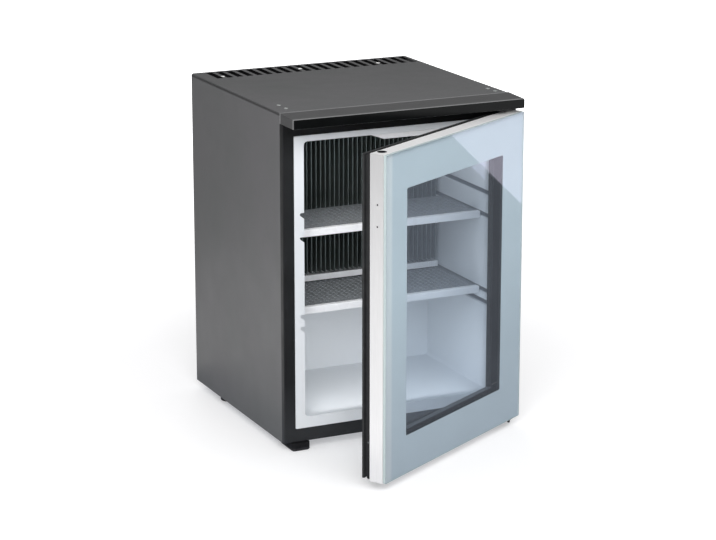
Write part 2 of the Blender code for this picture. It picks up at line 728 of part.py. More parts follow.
def insulation():
    """Foam round the liner, the plug behind the evaporator and the back plate with its hole."""
    foam = box("insulation_foam", (-FOAM_HALF, FOAM_FRONT, FOAM_BOTTOM), (FOAM_HALF, FOAM_BACK, FOAM_TOP),
               "foam")
    room = extruded("foam_liner_cutter", "XZ", [liner_outline(LINER_WALL + SEAT)], FOAM_FRONT - BEYOND,
                    LINER_BACK + SEAT, None)
    cut(foam, room)
    half = PLUG_WIDTH / 2 + SEAT
    low_z = PLUG_CENTRE_Z - PLUG_HEIGHT / 2 - SEAT
    high_z = PLUG_CENTRE_Z + PLUG_HEIGHT / 2 + SEAT
    passage = box("plug_passage_cutter", (-half, LINER_BACK - BEYOND, low_z),
                  (half, BACK_PLATE_REAR + BEYOND, high_z), None)
    cut(foam, passage)
    plate = box("back_plate", (-FOAM_HALF, BACK_PLATE_FRONT, FOAM_BOTTOM),
                (FOAM_HALF, BACK_PLATE_REAR, FOAM_TOP), "galvanised")
    cut(plate, passage)
    body_half = PLUG_WIDTH / 2
    lip_half = body_half + PLUG_LIP
    body_low = PLUG_CENTRE_Z - PLUG_HEIGHT / 2
    body_high = PLUG_CENTRE_Z + PLUG_HEIGHT / 2
    lip = rounded_rectangle(-lip_half, lip_half, body_low - PLUG_LIP, body_high + PLUG_LIP,
                            PLUG_LIP_CORNER, 3)
    plug = extruded("evaporator_plug", "XZ", [lip], BACK_PLATE_REAR + SEAT, PLUG_REAR, "galvanised", 30)
    core = box("plug_core_cutter", (-body_half, PLUG_FRONT, body_low),
               (body_half, PLUG_REAR - PLUG_LIP_THICKNESS / 2, body_high), None)
    cut(plug, core, "UNION")


def base_plate():
    """Base tray with turned-up sides, raised strips over the feet and air slots under the cooling unit."""
    half = [(BASE_FIELD_HALF, 0.0), (BASE_FIELD_HALF + BASE_RISE_RUN, BASE_RISE), (BASE_HALF, BASE_RISE),
            (BASE_HALF, BASE_LIP)]
    path = mirrored(half) + half
    tray = extruded("base_plate", "XZ", [folded(path, SHEET, FOLD_RADIUS / 2, 2)], BASE_FRONT,
                    REAR - SHEET - BASE_REAR_GAP, "galvanised", 35)
    slot_middle = (BACK_PLATE_REAR + REAR) / 2
    slot_gaps = int((2 * BASE_FIELD_HALF - BASE_SLOT_WIDTH) // BASE_SLOT_PITCH)
    for i in range(slot_gaps + 1):
        middle = (i - slot_gaps / 2) * BASE_SLOT_PITCH
        low = (middle - BASE_SLOT_WIDTH / 2, slot_middle - BASE_SLOT_LENGTH / 2, -BEYOND)
        high = (middle + BASE_SLOT_WIDTH / 2, slot_middle + BASE_SLOT_LENGTH / 2, SHEET + BEYOND)
        cut(tray, box(f"base_slot_cutter_{i + 1}", low, high, None))


def feet():
    """Two moulded front feet, of which the left one also bears on the base, and two turned rear feet."""
    for side, name in ((-1, "left"), (1, "right")):
        outer = HALF_WIDTH - FRONT_FOOT_INSET
        inner = outer - FRONT_FOOT_WIDTH
        left, right = sorted((side * outer, side * inner))
        front = FRAME_FACE - FRONT_FOOT_REACH
        back = front + FRONT_FOOT_LENGTH
        top = -SEAT
        if name == "right":
            top = -LOWER_BRACKET_DROP - BRACKET_THICKNESS - SEAT
        rings = []
        for height, shrink in ((top, 0.0), (-FOOT_HEIGHT + FOOT_CHAMFER, 0.0), (-FOOT_HEIGHT, FOOT_CHAMFER)):
            outline = rounded_rectangle(left + shrink, right - shrink, front + shrink, back - shrink,
                                        FRONT_FOOT_RADIUS - shrink)
            rings.append([(x, y, height) for x, y in outline])
        foot = loft(f"foot_front_{name}", rings, False, "rubber_foot", 35)
        if name == "left":
            low = (left + FOOT_CHAMFER, PANEL_FRONT + SEAT, top - FOOT_CHAMFER)
            high = (right - FOOT_CHAMFER, back - FRONT_FOOT_RADIUS, BASE_RISE - SEAT)
            cut(foot, box("foot_pad_cutter", low, high, None), "UNION")
        radius = REAR_FOOT_RADIUS
        profile = [
            (0.0, BASE_RISE - SEAT),
            (radius, BASE_RISE - SEAT),
            (radius, -FOOT_HEIGHT + FOOT_CHAMFER),
            (radius - FOOT_CHAMFER, -FOOT_HEIGHT),
            (0.0, -FOOT_HEIGHT),
        ]
        centre = (side * (HALF_WIDTH - REAR_FOOT_INSET), REAR - REAR_FOOT_FROM_REAR, 0.0)
        turned(f"foot_rear_{name}", profile, centre, (0, 0, 1), "rubber_foot")


def lamp():
    """Lamp housing flush with the liner's flange, and the lens under it."""
    top = CAVITY_TOP - SEAT
    bottom = CAVITY_TOP - LAMP_DROP
    outline = [
        (LAMP_LEFT, top),
        (LAMP_LEFT + LAMP_SHOULDER, bottom),
        (LAMP_RIGHT - LAMP_SHOULDER, bottom),
        (LAMP_RIGHT, top),
    ]
    extruded("lamp_housing", "XZ", [outline], FRAME_FACE, FRAME_FACE + LAMP_LENGTH, "white_trim")
    middle = (LAMP_LEFT + LAMP_RIGHT) / 2
    lens_front = FRAME_FACE + (LAMP_LENGTH - LENS_LENGTH) / 2
    lens = rounded_rectangle(middle - LENS_WIDTH / 2, middle + LENS_WIDTH / 2, lens_front,
                             lens_front + LENS_LENGTH, LENS_CORNER, 3)
    extruded("lamp_lens", "XY", [lens], bottom - SEAT - LENS_THICKNESS, bottom - SEAT, "frosted_lens", 30)


def shelf(name, groove_top, rear):
    """Perforated tray whose edges run in a pair of grooves, and the trim that grips its front."""
    plate_bottom = groove_top - GROOVE_HEIGHT + GROOVE_RISE + SEAT
    plate_top = plate_bottom + SHELF_PLATE
    half = CAVITY_HALF + GROOVE_DEPTH - GROOVE_NOSE
    trim_front = FRAME_FACE + SHELF_FRONT_SETBACK
    plate_front = trim_front + TRIM_FACE + SEAT
    outline = rounded_rectangle(-half, half, plate_front, rear, SHELF_CORNER, 2)
    usable_x = 2 * (half - SHELF_HOLE_MARGIN)
    usable_y = rear - plate_front - 2 * SHELF_HOLE_MARGIN
    columns = int(usable_x // SHELF_HOLE_PITCH_X)
    rows = int(usable_y // SHELF_HOLE_PITCH_Y)
    middle_y = (plate_front + rear) / 2
    holes = []
    for row in range(rows + 1):
        for column in range(columns + 1):
            x = (column - columns / 2) * SHELF_HOLE_PITCH_X
            y = middle_y + (row - rows / 2) * SHELF_HOLE_PITCH_Y
            holes.append(arc(x, y, SHELF_HOLE_RADIUS, 0, 300, 5))
    extruded(f"{name}_tray", "XY", [outline] + holes, plate_bottom, plate_top, "grey_shelf")
    top = plate_top + SEAT + TRIM_TOP_LIP
    bottom = top - TRIM_HEIGHT
    back = trim_front + TRIM_GRIP
    grip = [
        (trim_front, bottom),
        (back, bottom),
        (back, plate_bottom - SEAT),
        (trim_front + TRIM_FACE, plate_bottom - SEAT),
        (trim_front + TRIM_FACE, plate_top + SEAT),
        (back, plate_top + SEAT),
        (back, top),
    ]
    grip += arc(trim_front + TRIM_EDGE_RADIUS, top - TRIM_EDGE_RADIUS, TRIM_EDGE_RADIUS, 90, 180, 3)
    trim_half = CAVITY_HALF - TRIM_SIDE_CLEARANCE
    extruded(f"{name}_trim", "YZ", [grip], -trim_half, trim_half, "white_trim", 30)


def evaporator():
    """Comb of vertical cooling fins on the back wall, and the gutter that catches their drip."""
    root = FIN_BACK - FIN_BASE
    half = FIN_HALF
    pitch = (2 * half - FIN_THICKNESS) / (FIN_COUNT - 1)
    comb = [(-half, FIN_BACK), (half, FIN_BACK)]
    for i in range(FIN_COUNT):
        right = half - i * pitch
        comb += [(right, root)] if i else []
        comb += [(right, FIN_TIP), (right - FIN_THICKNESS, FIN_TIP)]
        comb += [(right - FIN_THICKNESS, root)] if i < FIN_COUNT - 1 else []
    extruded("evaporator_fins", "XY", [comb], FIN_BOTTOM, FIN_TOP, "fin_aluminium")
    top = FIN_BOTTOM - GUTTER_DROP
    low = (-half - GUTTER_LEDGE, FIN_TIP - GUTTER_LEDGE, top - GUTTER_HEIGHT)
    high = (half + GUTTER_LEDGE, FIN_BACK, top)
    trough = box("drip_gutter", low, high, "white_trim")
    wall = GUTTER_WALL
    pocket = box("gutter_pocket_cutter", (low[0] + wall, low[1] + wall, low[2] + wall),
                 (high[0] - wall, high[1] - wall, top + BEYOND), None)
    cut(trough, pocket)


def hinge_parts():
    """Brackets and pins on the cabinet."""
    right = HINGE_X + BRACKET_OUTBOARD
    left = right - BRACKET_WIDTH
    nose = HINGE_Y - BRACKET_NOSE
    plate_top = -LOWER_BRACKET_DROP
    plate_bottom = plate_top - BRACKET_THICKNESS
    end = nose + LOWER_BRACKET_LENGTH
    pad = end - LOWER_BRACKET_PAD
    pad_top = BASE_RISE - SEAT
    outline = [
        (nose, plate_bottom),
        (end, plate_bottom),
        (end, pad_top),
        (pad + pad_top - plate_top, pad_top),
        (pad, plate_top),
        (nose, plate_top),
    ]
    lower = extruded("hinge_bracket_lower", "YZ", [outline], left, right, "black_steel")
    bore = PIN_RADIUS + SEAT
    cut(lower, rod("lower_bore_cutter", bore, (HINGE_X, HINGE_Y, plate_bottom - BEYOND),
                   (HINGE_X, HINGE_Y, plate_top + BEYOND), None))
    shelf_bottom = CAP_BOTTOM - UPPER_BRACKET_DROP
    shelf_top = shelf_bottom + BRACKET_THICKNESS
    leg_back = FRAME_FACE - SEAT
    outline = [
        (nose, shelf_bottom),
        (leg_back, shelf_bottom),
        (leg_back, shelf_bottom + UPPER_BRACKET_LEG),
        (leg_back - BRACKET_THICKNESS, shelf_bottom + UPPER_BRACKET_LEG),
        (leg_back - BRACKET_THICKNESS, shelf_top),
        (nose, shelf_top),
    ]
    upper = extruded("hinge_bracket_upper", "YZ", [outline], left, right, "black_steel")
    cut(upper, rod("upper_bore_cutter", bore, (HINGE_X, HINGE_Y, shelf_bottom - BEYOND),
                   (HINGE_X, HINGE_Y, shelf_top + BEYOND), None))
    head_top = plate_bottom - SEAT
    profile = [
        (0.0, DOOR_BOTTOM + PIN_ENGAGEMENT),
        (PIN_RADIUS, DOOR_BOTTOM + PIN_ENGAGEMENT),
        (PIN_RADIUS, head_top),
        (PIN_HEAD_RADIUS, head_top),
        (PIN_HEAD_RADIUS, head_top - PIN_HEAD),
        (0.0, head_top - PIN_HEAD),
    ]
    turned("hinge_pin_lower", profile, (HINGE_X, HINGE_Y, 0.0), (0, 0, 1), "zinc_steel")
    collar_top = shelf_bottom - SEAT
    profile = [
        (0.0, shelf_top + SEAT),
        (PIN_RADIUS, shelf_top + SEAT),
        (PIN_RADIUS, collar_top),
        (PIN_HEAD_RADIUS, collar_top),
        (PIN_HEAD_RADIUS, collar_top - PIN_HEAD),
        (PIN_RADIUS, collar_top - PIN_HEAD),
        (PIN_RADIUS, DOOR_TOP - PIN_ENGAGEMENT),
        (0.0, DOOR_TOP - PIN_ENGAGEMENT),
    ]
    turned("hinge_pin_upper", profile, (HINGE_X, HINGE_Y, 0.0), (0, 0, 1), "zinc_steel")


def door_rails():
    """Four mitred aluminium rails, bored for the hinge on both sides so that the door can be reversed."""
    section = [
        (0.0, REBATE_FRONT),
        (RAIL_FLANGE, REBATE_FRONT),
        (RAIL_FLANGE, REBATE_FRONT + RAIL_WEB),
        (RAIL_WALL, REBATE_FRONT + RAIL_WEB),
        (RAIL_WALL, RAIL_DEPTH - RAIL_WEB),
        (RAIL_FLANGE, RAIL_DEPTH - RAIL_WEB),
        (RAIL_FLANGE, RAIL_DEPTH),
        (0.0, RAIL_DEPTH),
    ]
    mitre = SEAT * math.sqrt(0.5)

    def upright(x_edge, direction):
        """Rings of a vertical rail; direction points into the door."""
        low = [(x_edge + direction * u, FRONT + v, DOOR_BOTTOM + u + mitre) for u, v in section]
        high = [(x_edge + direction * u, FRONT + v, DOOR_TOP - u - mitre) for u, v in section]
        return [low, high]

    def crossbar(z_edge, direction):
        """Rings of a horizontal rail; direction points into the door."""
        low = [(DOOR_LEFT + u + mitre, FRONT + v, z_edge + direction * u) for u, v in section]
        high = [(DOOR_RIGHT - u - mitre, FRONT + v, z_edge + direction * u) for u, v in section]
        return [low, high]

    latch = loft("door_rail_latch", upright(DOOR_LEFT, 1), False, "door_aluminium")
    hinge = loft("door_rail_hinge", upright(DOOR_RIGHT, -1), False, "door_aluminium")
    bottom = loft("door_rail_bottom", crossbar(DOOR_BOTTOM, 1), False, "door_aluminium")
    top = loft("door_rail_top", crossbar(DOOR_TOP, -1), False, "door_aluminium")
    pieces = [latch, hinge, bottom, top]
    for side, end in ((1, "hinge"), (-1, "latch")):
        for rail, z_edge, place in ((bottom, DOOR_BOTTOM, "bottom"), (top, DOOR_TOP, "top")):
            low = (side * HINGE_X, HINGE_Y, z_edge - RAIL_WALL - BEYOND)
            high = (side * HINGE_X, HINGE_Y, z_edge + RAIL_WALL + BEYOND)
            bore = rod(f"bush_hole_cutter_{place}_{end}", BUSH_RADIUS + SEAT, low, high, None)
            cut(rail, bore)
            pieces.append(bore)
    hole_y = FRONT + RAIL_DEPTH - LATCH_HOLE_FROM_BACK
    for number, height in enumerate(LATCH_HOLE_HEIGHTS, 1):
        drill = rod(f"latch_hole_cutter_{number}", LATCH_HOLE_RADIUS, (DOOR_LEFT - BEYOND, hole_y, height),
                    (DOOR_LEFT + RAIL_WALL + BEYOND, hole_y, height), None, 10)
        cut(latch, drill)
        pieces.append(drill)
    return pieces


def door_bushes():
    """Flanged bushes on the hinge side and blanking plugs in the spare holes."""
    pieces = []
    bore = PIN_RADIUS + SEAT
    for name, edge, out in (("lower", DOOR_BOTTOM, -1), ("upper", DOOR_TOP, 1)):
        levels = [
            (BUSH_FLANGE_RADIUS, SEAT + BUSH_FLANGE),
            (BUSH_FLANGE_RADIUS, SEAT),
            (BUSH_RADIUS, SEAT),
            (BUSH_RADIUS, -BUSH_LENGTH),
            (bore, -BUSH_LENGTH),
            (bore, SEAT + BUSH_FLANGE),
        ]
        bush = turned(f"hinge_bush_{name}", levels, (HINGE_X, HINGE_Y, edge), (0, 0, out), "white_bush")
        pieces.append(bush)
        bottom = -SEAT - PLUG_DEPTH
        profile = [(0.0, -SEAT), (BUSH_RADIUS, -SEAT), (BUSH_RADIUS, bottom), (0.0, bottom)]
        plug = turned(f"spare_hole_plug_{name}", profile, (-HINGE_X, HINGE_Y, edge), (0, 0, out),
                      "black_moulding")
        pieces.append(plug)
    return pieces


def same_section(section):
    """The same section for all four sides of a ring."""
    return {side: section for side in ("left", "right", "bottom", "top")}


def door_glazing():
    """Outer pane, its printed border, the spacer and the inner pane."""
    edge = GLASS_EDGE_INSET
    outer = rounded_rectangle(DOOR_LEFT + edge, DOOR_RIGHT - edge, DOOR_BOTTOM + edge, DOOR_TOP - edge,
                              GLASS_CORNER, 2)
    border = PRINT_BORDER
    window = rounded_rectangle(DOOR_LEFT + border, DOOR_RIGHT - border, DOOR_BOTTOM + border,
                               DOOR_TOP - border, GLASS_CORNER, 2)
    window = list(reversed(window))
    pieces = [
        extruded("door_glass_outer", "XZ", [outer], FRONT + GLASS_INSET, FRONT + OUTER_GLASS_BACK,
                 "clear_glass"),
        extruded("door_printed_border", "XZ", [outer, window], FRONT + PRINT_FRONT, FRONT + PRINT_BACK,
                 "blue_grey_print"),
    ]
    section = [
        (SPACER_INSET, REBATE_FRONT),
        (SPACER_INSET + SPACER_WIDTH, REBATE_FRONT),
        (SPACER_INSET + SPACER_WIDTH, INNER_PANE_FRONT - SEAT),
        (SPACER_INSET, INNER_PANE_FRONT - SEAT),
    ]
    bounds = (DOOR_LEFT, DOOR_RIGHT, DOOR_BOTTOM, DOOR_TOP)
    pieces.append(frame_ring("door_glass_spacer", bounds, FRONT, same_section(section), "black_moulding"))
    inset = INNER_PANE_INSET
    inner = rounded_rectangle(DOOR_LEFT + inset, DOOR_RIGHT - inset, DOOR_BOTTOM + inset, DOOR_TOP - inset,
                              GLASS_CORNER, 2)
    pieces.append(extruded("door_glass_inner", "XZ", [inner], FRONT + INNER_PANE_FRONT,
                           FRONT + INNER_PANE_BACK, "clear_glass"))
    return pieces


def door_inner_frame():
    """Black moulding that clamps the inner pane, with the rib that locates it on the rails."""
    front = INNER_FRAME_FRONT
    rib = LOCATING_RIB_INSET
    lip = WINDOW_INSET - INNER_FRAME_LIP
    section = [
        (INNER_FRAME_INSET, front),
        (rib, front),
        (rib, RAIL_DEPTH + SEAT),
        (rib + LOCATING_RIB, RAIL_DEPTH + SEAT),
        (rib + LOCATING_RIB, front),
        (lip, front),
        (lip, INNER_PANE_BACK + SEAT),
        (WINDOW_INSET, INNER_PANE_BACK + SEAT),
        (WINDOW_INSET, INNER_FRAME_BACK),
        (INNER_FRAME_INSET, INNER_FRAME_BACK),
    ]
    bounds = (DOOR_LEFT, DOOR_RIGHT, DOOR_BOTTOM, DOOR_TOP)
    return [frame_ring("door_inner_frame", bounds, FRONT, same_section(section), "black_moulding")]


def door_gasket():
    """Magnetic gasket; its hinge side leans inwards so that it clears the frame as the door turns."""
    foot = GASKET_FRONT + GASKET_FOOT
    lip = GASKET_FRONT + GASKET_DEPTH - GASKET_LIP
    back = GASKET_FRONT + GASKET_DEPTH
    depths = (GASKET_FRONT, foot, foot, lip, lip, back, back, lip, lip, foot, foot, GASKET_FRONT)
    plain = list(zip(GASKET_LATCH_INSETS, depths))
    leaning = list(zip(GASKET_HINGE_INSETS, depths))
    sections = {"left": plain, "right": leaning, "bottom": plain, "top": plain}
    bounds = (DOOR_LEFT, DOOR_RIGHT, DOOR_BOTTOM, DOOR_TOP)
    return [frame_ring("door_gasket", bounds, FRONT, sections, "grey_gasket")]


def hang_door():
    """Hang the door's pieces on an empty on the hinge line and open it."""
    pieces = door_rails() + door_bushes() + door_glazing() + door_inner_frame() + door_gasket()
    hinge = bpy.data.objects.new("door_hinge_axis", None)
    PARTS.objects.link(hinge)
    hinge.location = (HINGE_X * MM, HINGE_Y * MM, 0.0)
    hinge.rotation_euler = (0.0, 0.0, math.radians(DOOR_OPEN_ANGLE))
    offset = Vector((HINGE_X * MM, HINGE_Y * MM, 0.0))
    for piece in pieces:
        piece.location = piece.location - offset
        piece.parent = hinge


def unit_brackets():
    """Two hat-section straps that hold the cooling unit off the back plate."""
    front = BACK_PLATE_REAR + SEAT
    sheet = UNIT_BRACKET_SHEET
    for name, low in (("lower", LOWER_UNIT_BRACKET_Z), ("upper", UPPER_UNIT_BRACKET_Z)):
        high = low + UNIT_BRACKET_HEIGHT
        outer = low - UNIT_BRACKET_FLANGE
        outline = [
            (front, outer),
            (front + sheet, outer),
            (front + sheet, low),
            (UNIT_FACE, low),
            (UNIT_FACE, high),
            (front + sheet, high),
            (front + sheet, high + UNIT_BRACKET_FLANGE),
            (front, high + UNIT_BRACKET_FLANGE),
            (front, high - sheet),
            (UNIT_FACE - sheet, high - sheet),
            (UNIT_FACE - sheet, low + sheet),
            (front, low + sheet),
        ]
        half = HALF_WIDTH - UNIT_BRACKET_FROM_SIDE
        extruded(f"unit_bracket_{name}", "YZ", [outline], -half, half, "galvanised")


def absorber_path():
    """Centre line of the absorber coil: from the vessel, round its turns and up the riser into the plug."""
    near = UNIT_FACE + SEAT + COIL_TUBE_RADIUS
    far = near + COIL_DEPTH
    bend = COIL_BEND
    corners = [
        (COIL_LEFT + bend, far - bend, 180, 90),
        (COIL_RIGHT - bend, far - bend, 90, 0),
        (COIL_RIGHT - bend, near + bend, 0, -90),
        (COIL_LEFT + bend, near + bend, -90, -180),
    ]
    flat = []
    for centre_x, centre_y, start, end in corners:
        flat += arc(centre_x, centre_y, bend, start, end, 4)
    lap = len(flat)
    last = lap * COIL_TURNS - len(flat) // len(corners)
    vessel_top = VESSEL_CENTRE_Z + VESSEL_RADIUS + SEAT
    path = [(COIL_LEFT, VESSEL_Y, vessel_top), (COIL_LEFT, VESSEL_Y, vessel_top + COIL_FOOT)]
    for i in range(last):
        x, y = flat[i % lap]
        path.append((x, y, COIL_BOTTOM + COIL_PITCH * i / lap))
    height = COIL_BOTTOM + COIL_PITCH * last / lap
    exit_z = PLUG_CENTRE_Z - PLUG_HEIGHT / 4
    turn = COIL_RISER_BEND
    upwards = arc(COIL_RISER_X + turn, height + turn, turn, 270, 180, 4)
    path += [(x, near, z) for x, z in upwards]
    inwards = arc(near - turn, exit_z - turn, turn, 0, 90, 4)
    path += [(COIL_RISER_X, y, z) for y, z in inwards]
    path.append((COIL_RISER_X, PLUG_REAR + SEAT, exit_z))
    return path


def absorber():
    """Absorber vessel, its coil and the heat exchanger that runs to the boiler."""
    half = (VESSEL_RIGHT - VESSEL_LEFT) / 2
    middle = (VESSEL_RIGHT + VESSEL_LEFT) / 2
    radius = VESSEL_RADIUS
    profile = [(0.0, half)]
    profile += [(radius - VESSEL_DOME, half)]
    profile += [(radius, half - VESSEL_DOME), (radius, VESSEL_DOME - half)]
    profile += [(radius - VESSEL_DOME, -half), (0.0, -half)]
    turned("absorber_vessel", profile, (middle, VESSEL_Y, VESSEL_CENTRE_Z), (1, 0, 0), "unit_black")
    tube("absorber_coil", absorber_path(), COIL_TUBE_RADIUS, "unit_black")
    rod("heat_exchanger_pipe", EXCHANGER_RADIUS, (VESSEL_RIGHT + SEAT, VESSEL_Y, VESSEL_CENTRE_Z),
        (JACKET_LEFT - SEAT, VESSEL_Y, VESSEL_CENTRE_Z), "unit_black", 16)


def boiler_and_condenser():
    """Boiler jacket, vapour pipe, finned condenser and the pipe that takes the liquid to the evaporator."""
    outline = rounded_rectangle(JACKET_LEFT, JACKET_RIGHT, JACKET_FRONT, JACKET_FRONT + JACKET_DEPTH,
                                JACKET_CORNER)
    extruded("boiler_jacket", "XY", [outline], JACKET_BOTTOM, JACKET_TOP, "galvanised", 35)
    fin_run = (CONDENSER_FIN_COUNT - 1) * CONDENSER_FIN_PITCH
    end_stub = CONDENSER_FIN_PITCH
    length = fin_run + 2 * end_stub
    profile = [(0.0, length / 2), (CONDENSER_TUBE_RADIUS, length / 2)]
    for i in range(CONDENSER_FIN_COUNT):
        middle = fin_run / 2 - i * CONDENSER_FIN_PITCH
        upper = middle + CONDENSER_FIN_THICKNESS / 2
        lower = middle - CONDENSER_FIN_THICKNESS / 2
        profile += [(CONDENSER_TUBE_RADIUS, upper), (CONDENSER_FIN_RADIUS, upper)]
        profile += [(CONDENSER_FIN_RADIUS, lower), (CONDENSER_TUBE_RADIUS, lower)]
    profile += [(CONDENSER_TUBE_RADIUS, -length / 2), (0.0, -length / 2)]
    centre_x = CONDENSER_RIGHT - length / 2
    turned("condenser", profile, (centre_x, CONDENSER_Y, CONDENSER_Z), (1, 0, 0), "unit_black", 16)
    bend = VAPOUR_BEND
    rise_x = (JACKET_LEFT + JACKET_RIGHT) / 2 + VAPOUR_FROM_JACKET_CENTRE
    path = [(rise_x, CONDENSER_Y, JACKET_TOP + SEAT)]
    path += [(x, CONDENSER_Y, z) for x, z in arc(rise_x - bend, CONDENSER_Z - bend, bend, 0, 90, 5)]
    path.append((CONDENSER_RIGHT + SEAT, CONDENSER_Y, CONDENSER_Z))
    tube("vapour_pipe", path, VAPOUR_TUBE_RADIUS, "unit_black")
    left = CONDENSER_RIGHT - length - SEAT
    bend = LIQUID_BEND
    turn_x = left - LIQUID_STUB
    exit_z = PLUG_CENTRE_Z + PLUG_HEIGHT / 4
    exit_x = -COIL_RISER_X
    path = [(left, CONDENSER_Y, CONDENSER_Z)]
    path += [(x, CONDENSER_Y, z) for x, z in arc(turn_x, CONDENSER_Z - bend, bend, 90, 180, 4)]
    path += [(x, CONDENSER_Y, z) for x, z in arc(turn_x, exit_z + bend, bend, 180, 270, 4)]
    path += [(x, y, exit_z) for x, y in arc(exit_x - bend, CONDENSER_Y - bend, bend, 90, 0, 4)]
    path.append((exit_x, PLUG_REAR + SEAT, exit_z))
    tube("liquid_pipe", path, LIQUID_TUBE_RADIUS, "unit_black")


def controls():
    """Control box on the back plate and the gland where a mains lead would enter it."""
    left = CONTROL_BOX_FROM_SIDE - HALF_WIDTH
    high = CABINET_HEIGHT - CONTROL_BOX_BELOW_TOP
    low = high - CONTROL_BOX_HEIGHT
    outline = rounded_rectangle(left, left + CONTROL_BOX_WIDTH, low, high, CONTROL_BOX_CORNER, 3)
    front = BACK_PLATE_REAR + SEAT
    extruded("control_box", "XZ", [outline], front, front + CONTROL_BOX_DEPTH, "black_moulding", 35)
    profile = [
        (0.0, 0.0),
        (GLAND_RADIUS, 0.0),
        (GLAND_RADIUS, -GLAND_RECESS),
        (GLAND_TIP_RADIUS, -GLAND_LENGTH),
        (0.0, -GLAND_LENGTH),
    ]
    place = (left + CONTROL_BOX_WIDTH / 2, front + CONTROL_BOX_DEPTH / 2, low - SEAT)
    turned("cord_gland", profile, place, (0, 0, 1), "black_moulding", 16)


side_panels()
top_panel()
cap()
front_frame()
inner_liner()
insulation()
base_plate()
feet()
lamp()
shelf("shelf_upper", UPPER_SHELF_GROOVE_TOP, FIN_TIP - UPPER_SHELF_TO_FINS)
shelf("shelf_lower", LOWER_SHELF_GROOVE_TOP, CAVITY_BACK - LOWER_SHELF_TO_BACK)
evaporator()
hinge_parts()
hang_door()
unit_brackets()
absorber()
boiler_and_condenser()
controls()
bpy.context.view_layer.update()
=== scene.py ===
"""Looks of the glass-door minibar fridge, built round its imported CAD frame.

The functions work in millimetres, with the door shut. A piece is turned to the frame's place and into
metres when it is finished.
"""
import functools
import json
import math

import bmesh
import bpy
from bpy.props import FloatProperty, FloatVectorProperty, PointerProperty
from mathutils import Matrix, Vector


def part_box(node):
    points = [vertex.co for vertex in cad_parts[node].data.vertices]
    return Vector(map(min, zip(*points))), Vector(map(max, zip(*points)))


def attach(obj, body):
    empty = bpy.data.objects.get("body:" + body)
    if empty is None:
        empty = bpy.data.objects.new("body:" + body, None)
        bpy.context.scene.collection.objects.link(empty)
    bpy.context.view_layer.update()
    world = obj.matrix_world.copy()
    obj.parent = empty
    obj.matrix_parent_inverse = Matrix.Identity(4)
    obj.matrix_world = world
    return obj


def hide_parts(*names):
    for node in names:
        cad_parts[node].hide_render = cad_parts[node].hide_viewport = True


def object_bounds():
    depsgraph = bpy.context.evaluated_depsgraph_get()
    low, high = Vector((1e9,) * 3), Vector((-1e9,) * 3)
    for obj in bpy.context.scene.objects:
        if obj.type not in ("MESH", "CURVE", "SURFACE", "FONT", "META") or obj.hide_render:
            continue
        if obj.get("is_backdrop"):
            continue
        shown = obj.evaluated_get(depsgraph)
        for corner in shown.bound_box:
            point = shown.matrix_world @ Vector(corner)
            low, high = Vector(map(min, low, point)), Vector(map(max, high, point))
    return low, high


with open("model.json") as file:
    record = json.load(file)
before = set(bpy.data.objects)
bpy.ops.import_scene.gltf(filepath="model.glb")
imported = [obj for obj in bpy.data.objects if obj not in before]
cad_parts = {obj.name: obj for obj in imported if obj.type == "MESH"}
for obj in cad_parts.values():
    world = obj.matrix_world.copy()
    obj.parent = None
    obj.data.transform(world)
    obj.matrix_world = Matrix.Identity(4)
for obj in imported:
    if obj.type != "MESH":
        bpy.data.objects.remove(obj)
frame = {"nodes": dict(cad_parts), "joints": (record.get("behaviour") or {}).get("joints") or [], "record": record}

bl_info = {
    "name": "Glass-door minibar fridge",
    "version": (1, 0, 0),
    "blender": (4, 5, 0),
    "location": "View3D > Sidebar > Minibar",
    "description": "Builds the looks of a glass-door minibar fridge on its packed frame",
    "category": "Add Mesh",
}

MM = 0.001
COMPARTMENT_HALF_WIDTH = 164.6  # between the middle and a side wall of the liner, in millimetres
PIPE_END = 102.0  # depth at which the pipes end, just behind the back plate, in millimetres
NOISE_SPAN = (0.3, 0.7)  # nearly all values of a noise lie between these
FACING = 0.9  # a face looks along an axis when its normal's part along it is larger
HINGE = next(joint for joint in frame["joints"] if joint["name"] == "door_hinge")
HINGE_LINE = Vector((HINGE["pos_m"][0], HINGE["pos_m"][1], 0.0))
DOOR_ANGLE = math.radians(-HINGE["range_deg"][0])
DOOR_SWING = (
    Matrix.Translation(HINGE_LINE)
    @ Matrix.Rotation(DOOR_ANGLE, 4, "Z")
    @ Matrix.Translation(-HINGE_LINE)
)
BODIES = frame["record"]["behaviour"]["bodies"]
BODY_OF = {node: body for body, nodes in BODIES.items() for node in nodes}


def low(node):
    """Lowest corner of a CAD node, in millimetres."""
    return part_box(node)[0] / MM


def high(node):
    """Highest corner of a CAD node, in millimetres."""
    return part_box(node)[1] / MM


class MinibarFinishes(bpy.types.PropertyGroup):
    """Colours that a user would change."""

    paint: FloatVectorProperty(
        name="Sheet paint", description="Powder coat of the cabinet", subtype="COLOR",
        size=3, min=0.0, max=1.0, default=(0.118, 0.119, 0.121))
    moulding: FloatVectorProperty(
        name="Black mouldings", description="Front frame and inner door frame", subtype="COLOR",
        size=3, min=0.0, max=1.0, default=(0.014, 0.0145, 0.0155))
    liner: FloatVectorProperty(
        name="Liner", description="White compartment liner and trims", subtype="COLOR",
        size=3, min=0.0, max=1.0, default=(0.81, 0.835, 0.86))
    shelf: FloatVectorProperty(
        name="Shelves", description="Powder coat of the perforated shelves", subtype="COLOR",
        size=3, min=0.0, max=1.0, default=(0.19, 0.2, 0.21))
    border: FloatVectorProperty(
        name="Door border", description="Print behind the door's outer glass", subtype="COLOR",
        size=3, min=0.0, max=1.0, default=(0.58, 0.655, 0.672))
    rail: FloatVectorProperty(
        name="Door rails", description="Anodised aluminium of the door rails", subtype="COLOR",
        size=3, min=0.0, max=1.0, default=(0.78, 0.775, 0.78))


